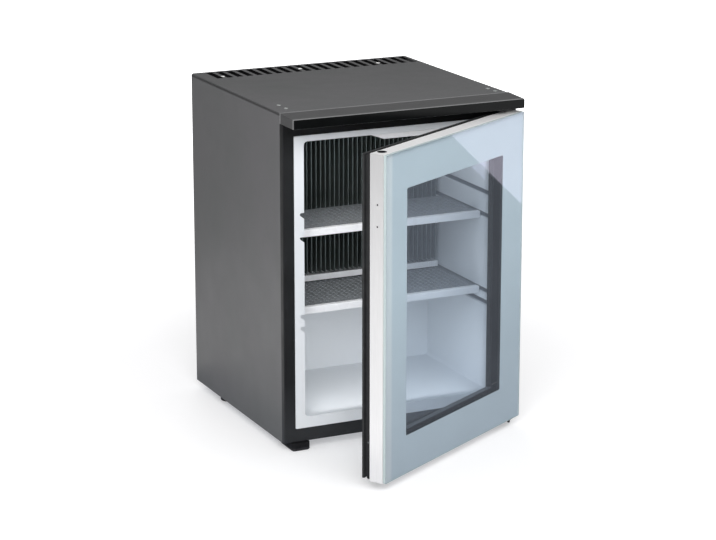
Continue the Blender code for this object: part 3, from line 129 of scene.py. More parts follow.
class MinibarSizes(bpy.types.PropertyGroup):
    """Fine sizes of the looks."""

    hole_pitch: FloatProperty(
        name="Shelf hole pitch", description="Distance between the shelf holes",
        unit="LENGTH", min=0.006, max=0.03, default=0.010)
    hole_radius: FloatProperty(
        name="Shelf hole radius", description="Radius of the shelf holes",
        unit="LENGTH", min=0.001, max=0.01, default=0.0027)
    screw_radius: FloatProperty(
        name="Screw head radius", description="Radius of the screw heads on the top sheet",
        unit="LENGTH", min=0.001, max=0.006, default=0.0034)


class MinibarStage(bpy.types.PropertyGroup):
    """Floor, lamps and camera."""

    floor_colour: FloatVectorProperty(
        name="Floor", description="Colour of the floor", subtype="COLOR",
        size=3, min=0.0, max=1.0, default=(0.74, 0.74, 0.75))
    ambient: FloatProperty(
        name="Room light", description="Strength of the even light from all sides",
        min=0.0, max=2.0, default=0.52)
    key_power: FloatProperty(
        name="Key lamp", description="Power of the lamp at the front left",
        unit="POWER", min=0.0, default=76.0)
    focal_length: FloatProperty(
        name="Focal length", description="Focal length of the camera",
        subtype="DISTANCE_CAMERA", min=10.0, max=500.0, default=121.13)


def combined(tree, operation, first, second):
    """Result of a math node on two values, each a socket or a number."""
    node = tree.nodes.new("ShaderNodeMath")
    node.operation = operation
    for value, socket in zip((first, second), node.inputs):
        if isinstance(value, bpy.types.NodeSocket):
            tree.links.new(value, socket)
        else:
            socket.default_value = value
    return node.outputs["Value"]


class Finish:
    """Node material of one finish, built up from its base shader."""

    def __init__(self, name):
        self.material = bpy.data.materials.new(name)
        self.material.use_nodes = True
        self.tree = self.material.node_tree
        self.nodes, self.links = self.tree.nodes, self.tree.links
        self.shader = self.nodes["Principled BSDF"]
        self.place = self.nodes.new("ShaderNodeTexCoord").outputs["Object"]
        self.colour = None

    def base(self, colour, roughness, metallic=0.0, specular=0.5):
        """Values that the shader starts from."""
        self.set("Base Color", (*colour, 1.0))
        self.set("Roughness", roughness)
        self.set("Metallic", metallic)
        self.set("Specular IOR Level", specular)

    def set(self, socket, value):
        """Give a shader socket a value that is the same all over."""
        self.shader.inputs[socket].default_value = value

    def mapped(self, stretch, turn):
        """Object coordinates, stretched and turned about the upright."""
        mapping = self.nodes.new("ShaderNodeMapping")
        mapping.inputs["Scale"].default_value = stretch
        self.links.new(self.place, mapping.inputs["Vector"])
        if not turn:
            return mapping.outputs["Vector"]
        turned = self.nodes.new("ShaderNodeMapping")
        turned.inputs["Rotation"].default_value = (0.0, 0.0, turn)
        self.links.new(self.place, turned.inputs["Vector"])
        self.links.new(turned.outputs["Vector"], mapping.inputs["Vector"])
        return mapping.outputs["Vector"]

    def noise(self, size, detail, stretch=(1.0, 1.0, 1.0), turn=0.0):
        """Noise with patches of about that many millimetres."""
        texture = self.nodes.new("ShaderNodeTexNoise")
        texture.inputs["Scale"].default_value = 1.0 / (size * MM)
        texture.inputs["Detail"].default_value = detail
        self.links.new(self.mapped(stretch, turn), texture.inputs["Vector"])
        return texture.outputs["Fac"]

    def cells(self, size, output="Distance"):
        """Voronoi cells of about that many millimetres."""
        texture = self.nodes.new("ShaderNodeTexVoronoi")
        texture.inputs["Scale"].default_value = 1.0 / (size * MM)
        self.links.new(self.place, texture.inputs["Vector"])
        return texture.outputs[output]

    def axis(self, letter):
        """One of the object coordinates, in metres."""
        split = self.nodes.new("ShaderNodeSeparateXYZ")
        self.links.new(self.place, split.inputs["Vector"])
        return split.outputs[letter]

    def ranged(self, source, start, end, low_value, high_value):
        """A value that runs from low_value to high_value as the source goes from start to end."""
        spread = self.nodes.new("ShaderNodeMapRange")
        spread.inputs["From Min"].default_value = start
        spread.inputs["From Max"].default_value = end
        spread.inputs["To Min"].default_value = low_value
        spread.inputs["To Max"].default_value = high_value
        self.links.new(source, spread.inputs["Value"])
        return spread.outputs["Result"]

    def shade(self, source, start, end, dark, light):
        """Multiply the colour by a grey or tint between dark and light."""
        mix = self.nodes.new("ShaderNodeMix")
        mix.data_type = "RGBA"
        tints = [tone if hasattr(tone, "__len__") else (tone, tone, tone) for tone in (dark, light)]
        mix.inputs[6].default_value = (*tints[0], 1.0)
        mix.inputs[7].default_value = (*tints[1], 1.0)
        self.links.new(self.ranged(source, start, end, 0.0, 1.0), mix.inputs[0])
        product = self.nodes.new("ShaderNodeMix")
        product.data_type = "RGBA"
        product.blend_type = "MULTIPLY"
        product.inputs[0].default_value = 1.0
        if self.colour:
            self.links.new(self.colour, product.inputs[6])
        else:
            product.inputs[6].default_value = self.shader.inputs["Base Color"].default_value
        self.links.new(mix.outputs[2], product.inputs[7])
        self.colour = product.outputs[2]
        self.links.new(self.colour, self.shader.inputs["Base Color"])

    def roughen(self, source, start, end, smooth, rough):
        """Let the roughness run between smooth and rough."""
        self.links.new(self.ranged(source, start, end, smooth, rough), self.shader.inputs["Roughness"])

    def bump(self, source, height):
        """Raise the surface by up to height millimetres."""
        bump = self.nodes.new("ShaderNodeBump")
        bump.inputs["Distance"].default_value = height * MM
        self.links.new(source, bump.inputs["Height"])
        before = self.shader.inputs["Normal"]
        if before.is_linked:
            self.links.new(before.links[0].from_socket, bump.inputs["Normal"])
        self.links.new(bump.outputs["Normal"], before)

    def mottle(self, size, detail, dark, light, span=NOISE_SPAN, **along):
        """Let the colour drift between dark and light in patches of that size."""
        self.shade(self.noise(size, detail, **along), *span, dark, light)

    def wear(self, size, detail, smooth, rough, span=NOISE_SPAN, **along):
        """Let the roughness drift between smooth and rough in patches of that size."""
        self.roughen(self.noise(size, detail, **along), *span, smooth, rough)

    def grain(self, size, detail, height, **along):
        """Raise a grain of that size by up to height millimetres."""
        self.bump(self.noise(size, detail, **along), height)


def chosen():
    """The finishes' colours as set in the sidebar."""
    return bpy.context.scene.minibar_finishes


def finish(build):
    """Build a finish once, under its function's name, and give its material to every call."""

    @functools.cache
    def material():
        made = Finish(build.__name__)
        build(made)
        return made.material

    return material


def powder_coat(made, tone):
    """Dark grey satin powder coat with orange peel, a faint drift in tone, and painted light: lighter towards the
    front, darker towards the rear.
    """
    made.base(Vector(chosen().paint) * tone, 0.46, specular=0.35)
    made.mottle(140.0, 3.0, (0.94, 0.96, 0.95), (1.05, 1.03, 1.05))
    # painted light and shade: the coat is lighter towards the front and darker towards the rear
    made.shade(made.axis("Y"), -0.16, 0.2, 1.07, 0.92)
    made.mottle(1.1, 1.0, 0.97, 1.03)
    made.wear(60.0, 4.0, 0.42, 0.5)
    made.grain(1.6, 2.0, 0.02)


@finish
def painted_sheet(made):
    """Powder coat of the side sheets, with painted shade in the seam under the top sheet's edge."""
    powder_coat(made, 1.0)
    # painted shade: the paint darkens to 0.3 of its tone in the gap under the top sheet's edge
    seam, blur = 0.5305, 0.0015
    made.shade(made.axis("Z"), seam, seam + blur, 1.0, 0.3)


@finish
def painted_top(made):
    """Powder coat of the top sheet, a little darker than the sides as painted shade."""
    # painted shade: the sides' coat at 0.8 of its tone
    powder_coat(made, 0.8)


@finish
def slot_shade_black(made):
    """Near-black painted shade on the inner side of the top sheet, so that the vent slots look dark."""
    made.base((0.008, 0.008, 0.0085), 0.8, specular=0.1)
    made.mottle(20.0, 3.0, 0.8, 1.3)
    made.wear(8.0, 3.0, 0.7, 0.9)
    made.grain(1.0, 2.0, 0.02)


@finish
def bright_screw(made):
    """Bright plated screw head, near white as a painted glint as well as its plating."""
    # painted highlight: the near-white base stands in for the glint on the plated head
    made.base((0.86, 0.86, 0.85), 0.3, metallic=0.15)
    made.mottle(1.2, 3.0, 0.9, 1.05)
    made.wear(1.0, 2.0, 0.24, 0.4)
    made.grain(0.6, 2.0, 0.01)


@finish
def cap_paint(made):
    """The cabinet's paint on the moulded cap, a little darker and smoother, with painted highlights along its
    front and rear top edges.
    """
    made.base(Vector(chosen().paint) * 0.57, 0.4, specular=0.35)
    made.mottle(90.0, 3.0, 0.96, 1.04)
    front, back = low("top_cap").y * MM, high("top_cap").y * MM
    # painted highlights: lighter bands along the front top edge and along the rear edge at the seam
    made.shade(made.axis("Y"), front + 0.002, front + 0.005, 2.8, 1.0)
    made.shade(made.axis("Y"), back - 0.0045, back - 0.0035, 1.0, 3.2)
    made.wear(40.0, 4.0, 0.36, 0.44)
    made.grain(2.4, 2.0, 0.012)


@finish
def gloss_black(made):
    """Polished black strip on the cap's front."""
    made.base((0.0045, 0.005, 0.0052), 0.12, specular=0.12)
    made.mottle(35.0, 2.0, 0.9, 1.1)
    made.wear(25.0, 5.0, 0.1, 0.17, span=(0.35, 0.7))
    made.grain(60.0, 1.0, 0.02)


def moulded(made):
    """Satin black moulded plastic with a fine spark grain."""
    made.base(chosen().moulding, 0.42, specular=0.22)
    made.mottle(60.0, 3.0, 0.88, 1.12)
    made.wear(30.0, 4.0, 0.36, 0.5)
    made.grain(0.7, 2.0, 0.02)


@finish
def black_moulding(made):
    """Black moulding of frame and control box, with painted light at its foot and painted shade at its head."""
    moulded(made)
    # painted light: paler towards the foot
    made.shade(made.axis("Z"), 0.03, 0.1, 2.0, 1.0)
    # painted shade: darker towards the head, under the cap
    made.shade(made.axis("Z"), 0.46, 0.51, 1.0, 0.6)


@finish
def inner_moulding(made):
    """Black moulding of the inner door frame, with painted light along its upward-facing lower ledge."""
    moulded(made)
    # painted light: the band of the ledge's upper face is brightened nine times
    foot, top, blur, ledge_light = 0.0598, 0.0612, 0.0008, 9.0
    made.shade(made.axis("Z"), foot - blur, foot, 1.0, ledge_light)
    made.shade(made.axis("Z"), top, top + blur, 1.0, 1.0 / ledge_light)


@finish
def white_liner(made):
    """Vacuum-formed white sheet, soft gloss, with the slight ripple of forming and painted shade in the shelf
    grooves.
    """
    made.base(chosen().liner, 0.32, specular=0.42)
    made.mottle(120.0, 2.0, (0.985, 0.985, 0.98), (1.0, 1.0, 1.01))
    wall, mouth = COMPARTMENT_HALF_WIDTH * MM, low("inner_liner").y * MM
    aside = combined(made.tree, "ABSOLUTE", made.axis("X"), 0.0)
    past_wall = made.ranged(aside, wall + 0.001, wall + 0.003, 0.0, 1.0)
    past_mouth = made.ranged(made.axis("Y"), mouth + 0.0015, mouth + 0.004, 0.0, 1.0)
    # painted shade: the liner darkens where it lies past the side walls and behind the mouth, inside the grooves
    groove_shade = combined(made.tree, "MULTIPLY", past_wall, past_mouth)
    made.shade(groove_shade, 0.0, 1.0, 1.0, (0.16, 0.17, 0.19))
    made.wear(45.0, 4.0, 0.28, 0.38)
    made.grain(38.0, 1.0, 0.05)
    made.grain(1.2, 2.0, 0.006)


@finish
def white_trim(made):
    """Moulded white plastic of the lamp housing, shelf fronts and gutter."""
    made.base((0.86, 0.86, 0.875), 0.28, specular=0.45)
    made.mottle(30.0, 3.0, 0.98, 1.01)
    made.wear(20.0, 4.0, 0.24, 0.34)
    made.grain(0.9, 2.0, 0.006)


@finish
def frosted_lens(made):
    """Frosted lamp lens that passes some light."""
    made.base((0.86, 0.88, 0.9), 0.5, specular=0.4)
    made.set("Subsurface Weight", 0.4)
    made.set("Subsurface Radius", (0.004, 0.004, 0.004))
    made.mottle(3.0, 2.0, 0.97, 1.02)
    made.wear(1.0, 2.0, 0.42, 0.6)
    made.grain(0.6, 1.0, 0.02)


@finish
def grey_shelf(made):
    """Grey powder coat of the perforated shelves."""
    made.base(chosen().shelf, 0.5, specular=0.35)
    made.mottle(50.0, 3.0, 0.95, 1.04)
    made.mottle(0.9, 1.0, 0.96, 1.03)
    made.wear(12.0, 3.0, 0.44, 0.56)
    made.grain(1.1, 2.0, 0.02)


@finish
def fin_aluminium(made):
    """Extruded aluminium fins: die lines run up them, with a dull oxide bloom."""
    made.base((0.18, 0.205, 0.2), 0.4, metallic=0.6)
    made.mottle(26.0, 4.0, (0.86, 0.9, 0.89), (1.06, 1.06, 1.05), span=(0.35, 0.7))
    made.mottle(0.8, 2.0, 0.9, 1.08, stretch=(1.0, 1.0, 0.01))
    made.wear(18.0, 4.0, 0.3, 0.48)
    made.grain(0.5, 2.0, 0.02, stretch=(1.0, 1.0, 0.008))


def brushed(made, foot, head, **along):
    """Satin anodised aluminium with its grain along the rail; painted light runs its tone from foot to head."""
    made.base(chosen().rail, 0.36, metallic=0.22, specular=0.5)
    made.mottle(0.35, 2.0, 0.93, 1.04, **along)
    # painted light and reflection: the tone is scaled by foot at the bottom and by head at half a metre up
    made.shade(made.axis("Z"), 0.0, 0.5, foot, head)
    made.mottle(70.0, 2.0, 0.98, 1.02)
    made.wear(0.6, 3.0, 0.28, 0.42, **along)
    made.grain(0.3, 1.0, 0.006, **along)


@finish
def door_aluminium_upright(made):
    """Anodised finish of the two upright rails."""
    brushed(made, 1.17, 0.64, stretch=(1.0, 1.0, 0.01))


@finish
def door_aluminium_cross(made):
    """Anodised finish of the top and bottom rails, whose grain runs with the opened door."""
    brushed(made, 1.15, 1.2, stretch=(0.01, 1.0, 1.0), turn=-DOOR_ANGLE)


@finish
def blue_grey_print(made):
    """Pale blue-grey print behind the glass, with painted shade towards its foot and painted light along the latch
    edge.
    """
    made.base(chosen().border, 0.4, specular=0.3)
    made.mottle(90.0, 2.0, 0.975, 1.02)
    made.mottle(0.5, 1.0, 0.985, 1.01)
    # painted shade: the print darkens towards the bottom of the door
    made.shade(made.axis("Z"), 0.0, 0.3, (0.86, 0.84, 0.86), 1.0)
    # The mapping turns about the origin and not about the hinge: on it, the latch edge lies here.
    latch = (DOOR_SWING.to_3x3().inverted() @ (DOOR_SWING @ Vector((low("top_cap").x * MM, 0.0, 0.0)))).x
    across = made.nodes.new("ShaderNodeSeparateXYZ")
    made.links.new(made.mapped((1.0, 1.0, 1.0), -DOOR_ANGLE), across.inputs["Vector"])
    # painted light: the print is lighter in a band along the latch edge, for the glass edge's light
    made.shade(across.outputs["X"], latch + 0.018, latch + 0.024, (1.3, 1.2, 1.14), 1.0)
    made.wear(20.0, 3.0, 0.36, 0.46)
    made.grain(0.8, 1.0, 0.003)


@finish
def clear_glass(made):
    """Faces of the door's two panes: they let the lamps through and carry the faintest smear."""
    colour, clearness = (0.9, 0.945, 0.985), 0.96
    made.base(colour, 0.0, specular=0.5)
    made.set("Transmission Weight", 1.0)
    made.set("IOR", 1.47)
    made.wear(60.0, 4.0, 0.0, 0.02, span=(0.45, 0.75))
    path = made.nodes.new("ShaderNodeLightPath")
    clear = made.nodes.new("ShaderNodeBsdfTransparent")
    clear.inputs["Color"].default_value = (*[clearness * math.sqrt(part) for part in colour], 1.0)
    mix = made.nodes.new("ShaderNodeMixShader")
    made.links.new(path.outputs["Is Shadow Ray"], mix.inputs["Fac"])
    made.links.new(made.shader.outputs["BSDF"], mix.inputs[1])
    made.links.new(clear.outputs["BSDF"], mix.inputs[2])
    made.links.new(mix.outputs["Shader"], made.nodes["Material Output"].inputs["Surface"])


@finish
def glass_edge(made):
    """Ground edge of a pane, pale green from the glass's own depth."""
    made.base((0.5, 0.585, 0.59), 0.3, specular=0.5)
    made.mottle(0.8, 3.0, 0.85, 1.1)
    made.wear(0.6, 2.0, 0.22, 0.4)
    made.grain(0.4, 1.0, 0.01)


@finish
def spacer_bar(made):
    """Grey spacer between the panes, pricked with its row of vent dots."""
    made.base((0.05, 0.052, 0.055), 0.4, metallic=0.4)
    dots = made.cells(2.4)
    made.shade(dots, 0.12, 0.2, 0.25, 1.0)
    made.wear(6.0, 3.0, 0.34, 0.46)
    made.bump(dots, 0.05)


@finish
def grey_gasket(made):
    """Soft charcoal gasket, slightly dusty."""
    made.base((0.026, 0.027, 0.028), 0.6, specular=0.2)
    made.mottle(14.0, 4.0, 0.86, 1.12, span=(0.35, 0.7))
    made.wear(9.0, 3.0, 0.5, 0.68)
    made.grain(1.5, 2.0, 0.03)


@finish
def zinc_steel(made):
    """Zinc-plated screws and pins."""
    made.base((0.62, 0.62, 0.61), 0.28, metallic=1.0)
    made.mottle(2.0, 3.0, 0.82, 1.08)
    made.wear(1.2, 3.0, 0.2, 0.4)
    made.grain(0.5, 2.0, 0.01)


@finish
def painted_screw(made):
    """Screw head sprayed thinly with the sheet's paint, worn bright where the driver turned it."""
    made.base((0.36, 0.38, 0.37), 0.38, metallic=0.1)
    made.mottle(1.1, 3.0, 0.8, 1.25, span=(0.42, 0.66))
    made.wear(1.0, 2.0, 0.3, 0.5)
    made.grain(0.6, 2.0, 0.015)


@finish
def black_steel(made):
    """Black painted steel of the hinge brackets."""
    made.base((0.014, 0.0145, 0.015), 0.45, metallic=0.2, specular=0.3)
    made.mottle(8.0, 4.0, 0.8, 1.3, span=(0.35, 0.7))
    made.wear(6.0, 3.0, 0.36, 0.55)
    made.grain(1.0, 2.0, 0.02)


@finish
def white_bush(made):
    """Natural white bearing plastic."""
    made.base((0.72, 0.71, 0.68), 0.4, specular=0.4)
    made.mottle(4.0, 2.0, 0.95, 1.03)
    made.wear(2.0, 2.0, 0.34, 0.48)
    made.grain(0.8, 1.0, 0.01)


@finish
def rubber_foot(made):
    """Black foot with a painted highlight in a grey band at its bottom."""
    made.base((0.011, 0.011, 0.012), 0.7, specular=0.15)
    # painted highlight: below this level the foot is 2.6 times lighter
    lit_band_top, blur = -0.0095, 0.001
    made.shade(made.axis("Z"), lit_band_top, lit_band_top + blur, 2.6, 1.0)
    made.mottle(5.0, 4.0, 0.8, 1.35, span=(0.35, 0.7))
    made.wear(3.0, 3.0, 0.6, 0.8)
    made.grain(0.9, 2.0, 0.04)


@finish
def galvanised(made):
    """Galvanised sheet with its spangle."""
    made.base((0.52, 0.53, 0.545), 0.4, metallic=0.8)
    made.shade(made.cells(7.0, "Color"), 0.1, 0.9, 0.82, 1.06)
    made.mottle(60.0, 4.0, 0.92, 1.04)
    made.roughen(made.cells(7.0, "Color"), 0.1, 0.9, 0.3, 0.52)
    made.grain(4.0, 3.0, 0.02)


@finish
def foam(made):
    """Rigid foam with its open pores."""
    made.base((0.74, 0.68, 0.45), 0.9, specular=0.2)
    made.mottle(30.0, 4.0, (0.86, 0.83, 0.76), (1.05, 1.05, 1.04))
    made.shade(made.cells(1.8), 0.0, 0.35, 0.72, 1.0)
    made.wear(5.0, 2.0, 0.85, 0.95)
    made.bump(made.cells(1.8), 0.5)


@finish
def unit_black(made):
    """Black paint over the steel tubes, with runs and a little rust bloom at the joints."""
    made.base((0.018, 0.018, 0.019), 0.42, metallic=0.1, specular=0.4)
    made.mottle(22.0, 5.0, (0.8, 0.8, 0.82), (1.5, 1.4, 1.3), span=(0.4, 0.7))
    made.mottle(2.5, 3.0, 0.88, 1.15, stretch=(1.0, 1.0, 0.3))
    made.wear(7.0, 4.0, 0.32, 0.58)
    made.grain(3.0, 3.0, 0.06)


@finish
def weld_bead(made):
    """Bare weld, straw to grey, in ripples."""
    made.base((0.22, 0.2, 0.18), 0.45, metallic=0.7)
    made.mottle(3.0, 3.0, (0.6, 0.55, 0.5), (1.2, 1.15, 1.1))
    made.wear(1.0, 3.0, 0.35, 0.6)
    made.bump(made.cells(1.0), 0.2)


def linked(name, bm):
    """Object of a finished mesh, linked to the scene."""
    mesh = bpy.data.meshes.new(name)
    bm.to_mesh(mesh)
    bm.free()
    piece = bpy.data.objects.new(name, mesh)
    bpy.context.scene.collection.objects.link(piece)
    return piece


def verts_of(geometry):
    """The vertices among the parts that an operator returned."""
    return [part for part in geometry if isinstance(part, bmesh.types.BMVert)]


def upright_to(place, axis):
    """Matrix that carries the upright through the origin to an axis through a place."""
    turn = Vector((0, 0, 1)).rotation_difference(Vector(axis)).to_matrix().to_4x4()
    return Matrix.Translation(Vector(place)) @ turn


def soften(bm, width, angle=30.0, segments=2):
    """Round the edges that are sharper than angle."""
    edges = [e for e in bm.edges if len(e.link_faces) == 2 and e.calc_face_angle() > math.radians(angle)]
    bmesh.ops.bevel(bm, geom=edges, offset=width, offset_type="OFFSET", segments=segments, profile=0.5,
                    affect="EDGES", clamp_overlap=True, material=-1)


def finished(name, bm, body, material, nodes=(), smooth=35.0):
    """Turn a mesh built in the frame's place into a piece that rides on its body."""
    piece = linked(name, bm)
    piece.data.shade_smooth()
    piece.data.set_sharp_from_angle(angle=math.radians(smooth))
    piece.data.materials.append(material)
    even = piece.modifiers.new("even_shading", "WEIGHTED_NORMAL")
    even.keep_sharp = True
    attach(piece, body)
    if nodes:
        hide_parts(*nodes)
    return piece


def built(name, bm, body, material, nodes=(), smooth=35.0):
    """Finish a piece modelled in millimetres, with the door shut."""
    bmesh.ops.remove_doubles(bm, verts=bm.verts, dist=0.005)
    bmesh.ops.recalc_face_normals(bm, faces=bm.faces)
    bmesh.ops.scale(bm, vec=(MM, MM, MM), verts=bm.verts)
    if body == "door":
        bmesh.ops.transform(bm, matrix=DOOR_SWING, verts=bm.verts)
    return finished(name, bm, body, material, nodes, smooth)


def dressed(node, material, edge=0.3, angle=30.0, segments=2, shape=None):
    """Softened copy of a CAD node: its triangles joined, its sharp edges rounded by edge millimetres."""
    bm = bmesh.new()
    bm.from_mesh(frame["nodes"][node].data)
    bmesh.ops.remove_doubles(bm, verts=bm.verts, dist=2e-6)
    bmesh.ops.dissolve_limit(bm, angle_limit=math.radians(0.5), verts=bm.verts, edges=bm.edges)
    bmesh.ops.dissolve_degenerate(bm, dist=1e-6, edges=bm.edges)
    if shape:
        shape(bm)
    soften(bm, edge * MM, angle, segments)
    return finished(f"{node}_skin", bm, BODY_OF[node], material, [node])


def block(bm, lower, upper, radius=0.0):
    """Box between two corners, with rounded edges."""
    made = bmesh.ops.create_cube(bm, size=1.0)["verts"]
    lower, upper = Vector(lower), Vector(upper)
    bmesh.ops.scale(bm, vec=upper - lower, verts=made)
    bmesh.ops.translate(bm, vec=(upper + lower) / 2, verts=made)
    if radius:
        edges = list({edge for v in made for edge in v.link_edges})
        bmesh.ops.bevel(bm, geom=edges, offset=radius, offset_type="OFFSET", segments=2, profile=0.5,
                        affect="EDGES", clamp_overlap=True, material=-1)


def spun(bm, profile, centre, axis, steps=32):
    """Profile of (radius, height), swept round the axis at centre."""
    points = [bm.verts.new((radius, 0.0, height)) for radius, height in profile]
    lines = [bm.edges.new(pair) for pair in zip(points, points[1:])]
    bmesh.ops.spin(bm, geom=points + lines, cent=(0, 0, 0), axis=(0, 0, 1), dvec=(0, 0, 0),
                   angle=math.tau, steps=steps, use_merge=True, use_duplicate=False)
    fresh = [v for v in bm.verts if not v.tag]
    bmesh.ops.transform(bm, matrix=upright_to(centre, axis), verts=fresh)
    for v in fresh:
        v.tag = True


def tube(bm, path, radius, sides=20):
    """Round closed tube along a path, turned from each run to the next without twisting."""
    points = [Vector(point) for point in path]
    runs = [(after - before).normalized() for before, after in zip(points, points[1:])]
    aims = [runs[0]] + [(one + two).normalized() for one, two in zip(runs, runs[1:])] + [runs[-1]]
    ring = bmesh.ops.create_circle(bm, cap_ends=True, segments=sides, radius=radius)["verts"]
    bmesh.ops.transform(bm, matrix=upright_to(points[0], aims[0]), verts=ring)
    edges = list({e for v in ring for e in v.link_edges})
    for before, here, aim, next_aim in zip(points, points[1:], aims, aims[1:]):
        grown = bmesh.ops.extrude_edge_only(bm, edges=edges)["geom"]
        ring = verts_of(grown)
        edges = [part for part in grown if isinstance(part, bmesh.types.BMEdge)
                 and all(v in ring for v in part.verts)]
        turn = aim.rotation_difference(next_aim).to_matrix().to_4x4()
        move = Matrix.Translation(here) @ turn @ Matrix.Translation(-before)
        bmesh.ops.transform(bm, matrix=move, verts=ring)
    bmesh.ops.contextual_create(bm, geom=edges)


def arc(centre_a, centre_b, radius, start, end, steps=8):
    """Points on an arc in a flat plane."""
    angles = [math.radians(start + (end - start) * i / steps) for i in range(steps + 1)]
    return [(centre_a + radius * math.cos(a), centre_b + radius * math.sin(a)) for a in angles]


def screw(bm, place, axis, radius, height=1.2):
    """Pan head with a cross recess, sitting on place and facing along axis."""
    cells, inward, crown, sink = 5, 0.95, 0.45, 0.6
    made = bmesh.ops.create_grid(bm, x_segments=cells, y_segments=cells, size=1.0)["verts"]
    faces = list({f for v in made for f in v.link_faces})
    rim = [v for v in made if max(abs(v.co.x), abs(v.co.y)) > 0.99]
    for v in rim:
        v.co = v.co.normalized()
    for v in set(made) - set(rim):
        v.co *= inward
    bmesh.ops.scale(bm, vec=(radius, radius, 1.0), verts=made)
    cross = [f for f in faces if f.calc_center_median().length < 0.5 * radius
             and min(abs(f.calc_center_median().x), abs(f.calc_center_median().y)) < 0.1 * radius]
    for v in made:
        v.co.z = height * (1.0 - crown * (v.co.length / radius) ** 2)
    sunk = verts_of(bmesh.ops.extrude_face_region(bm, geom=cross)["geom"])
    bmesh.ops.delete(bm, geom=cross, context="FACES_ONLY")
    bmesh.ops.translate(bm, vec=(0, 0, -sink * height), verts=sunk)
    rim_edges = list({e for v in rim for e in v.link_edges if e.is_boundary})
    skirt = verts_of(bmesh.ops.extrude_edge_only(bm, edges=rim_edges)["geom"])
    for v in skirt:
        v.co.z = 0.0
    whole = list(set(made) | set(sunk) | set(skirt))
    bmesh.ops.transform(bm, matrix=upright_to(place, axis), verts=whole)


def screws(name, places, axis, material, radius):
    """One piece of several screw heads on the cabinet that face the same way."""
    bm = bmesh.new()
    for place in places:
        screw(bm, place, axis, radius)
    built(name, bm, "cabinet", material, smooth=40.0)


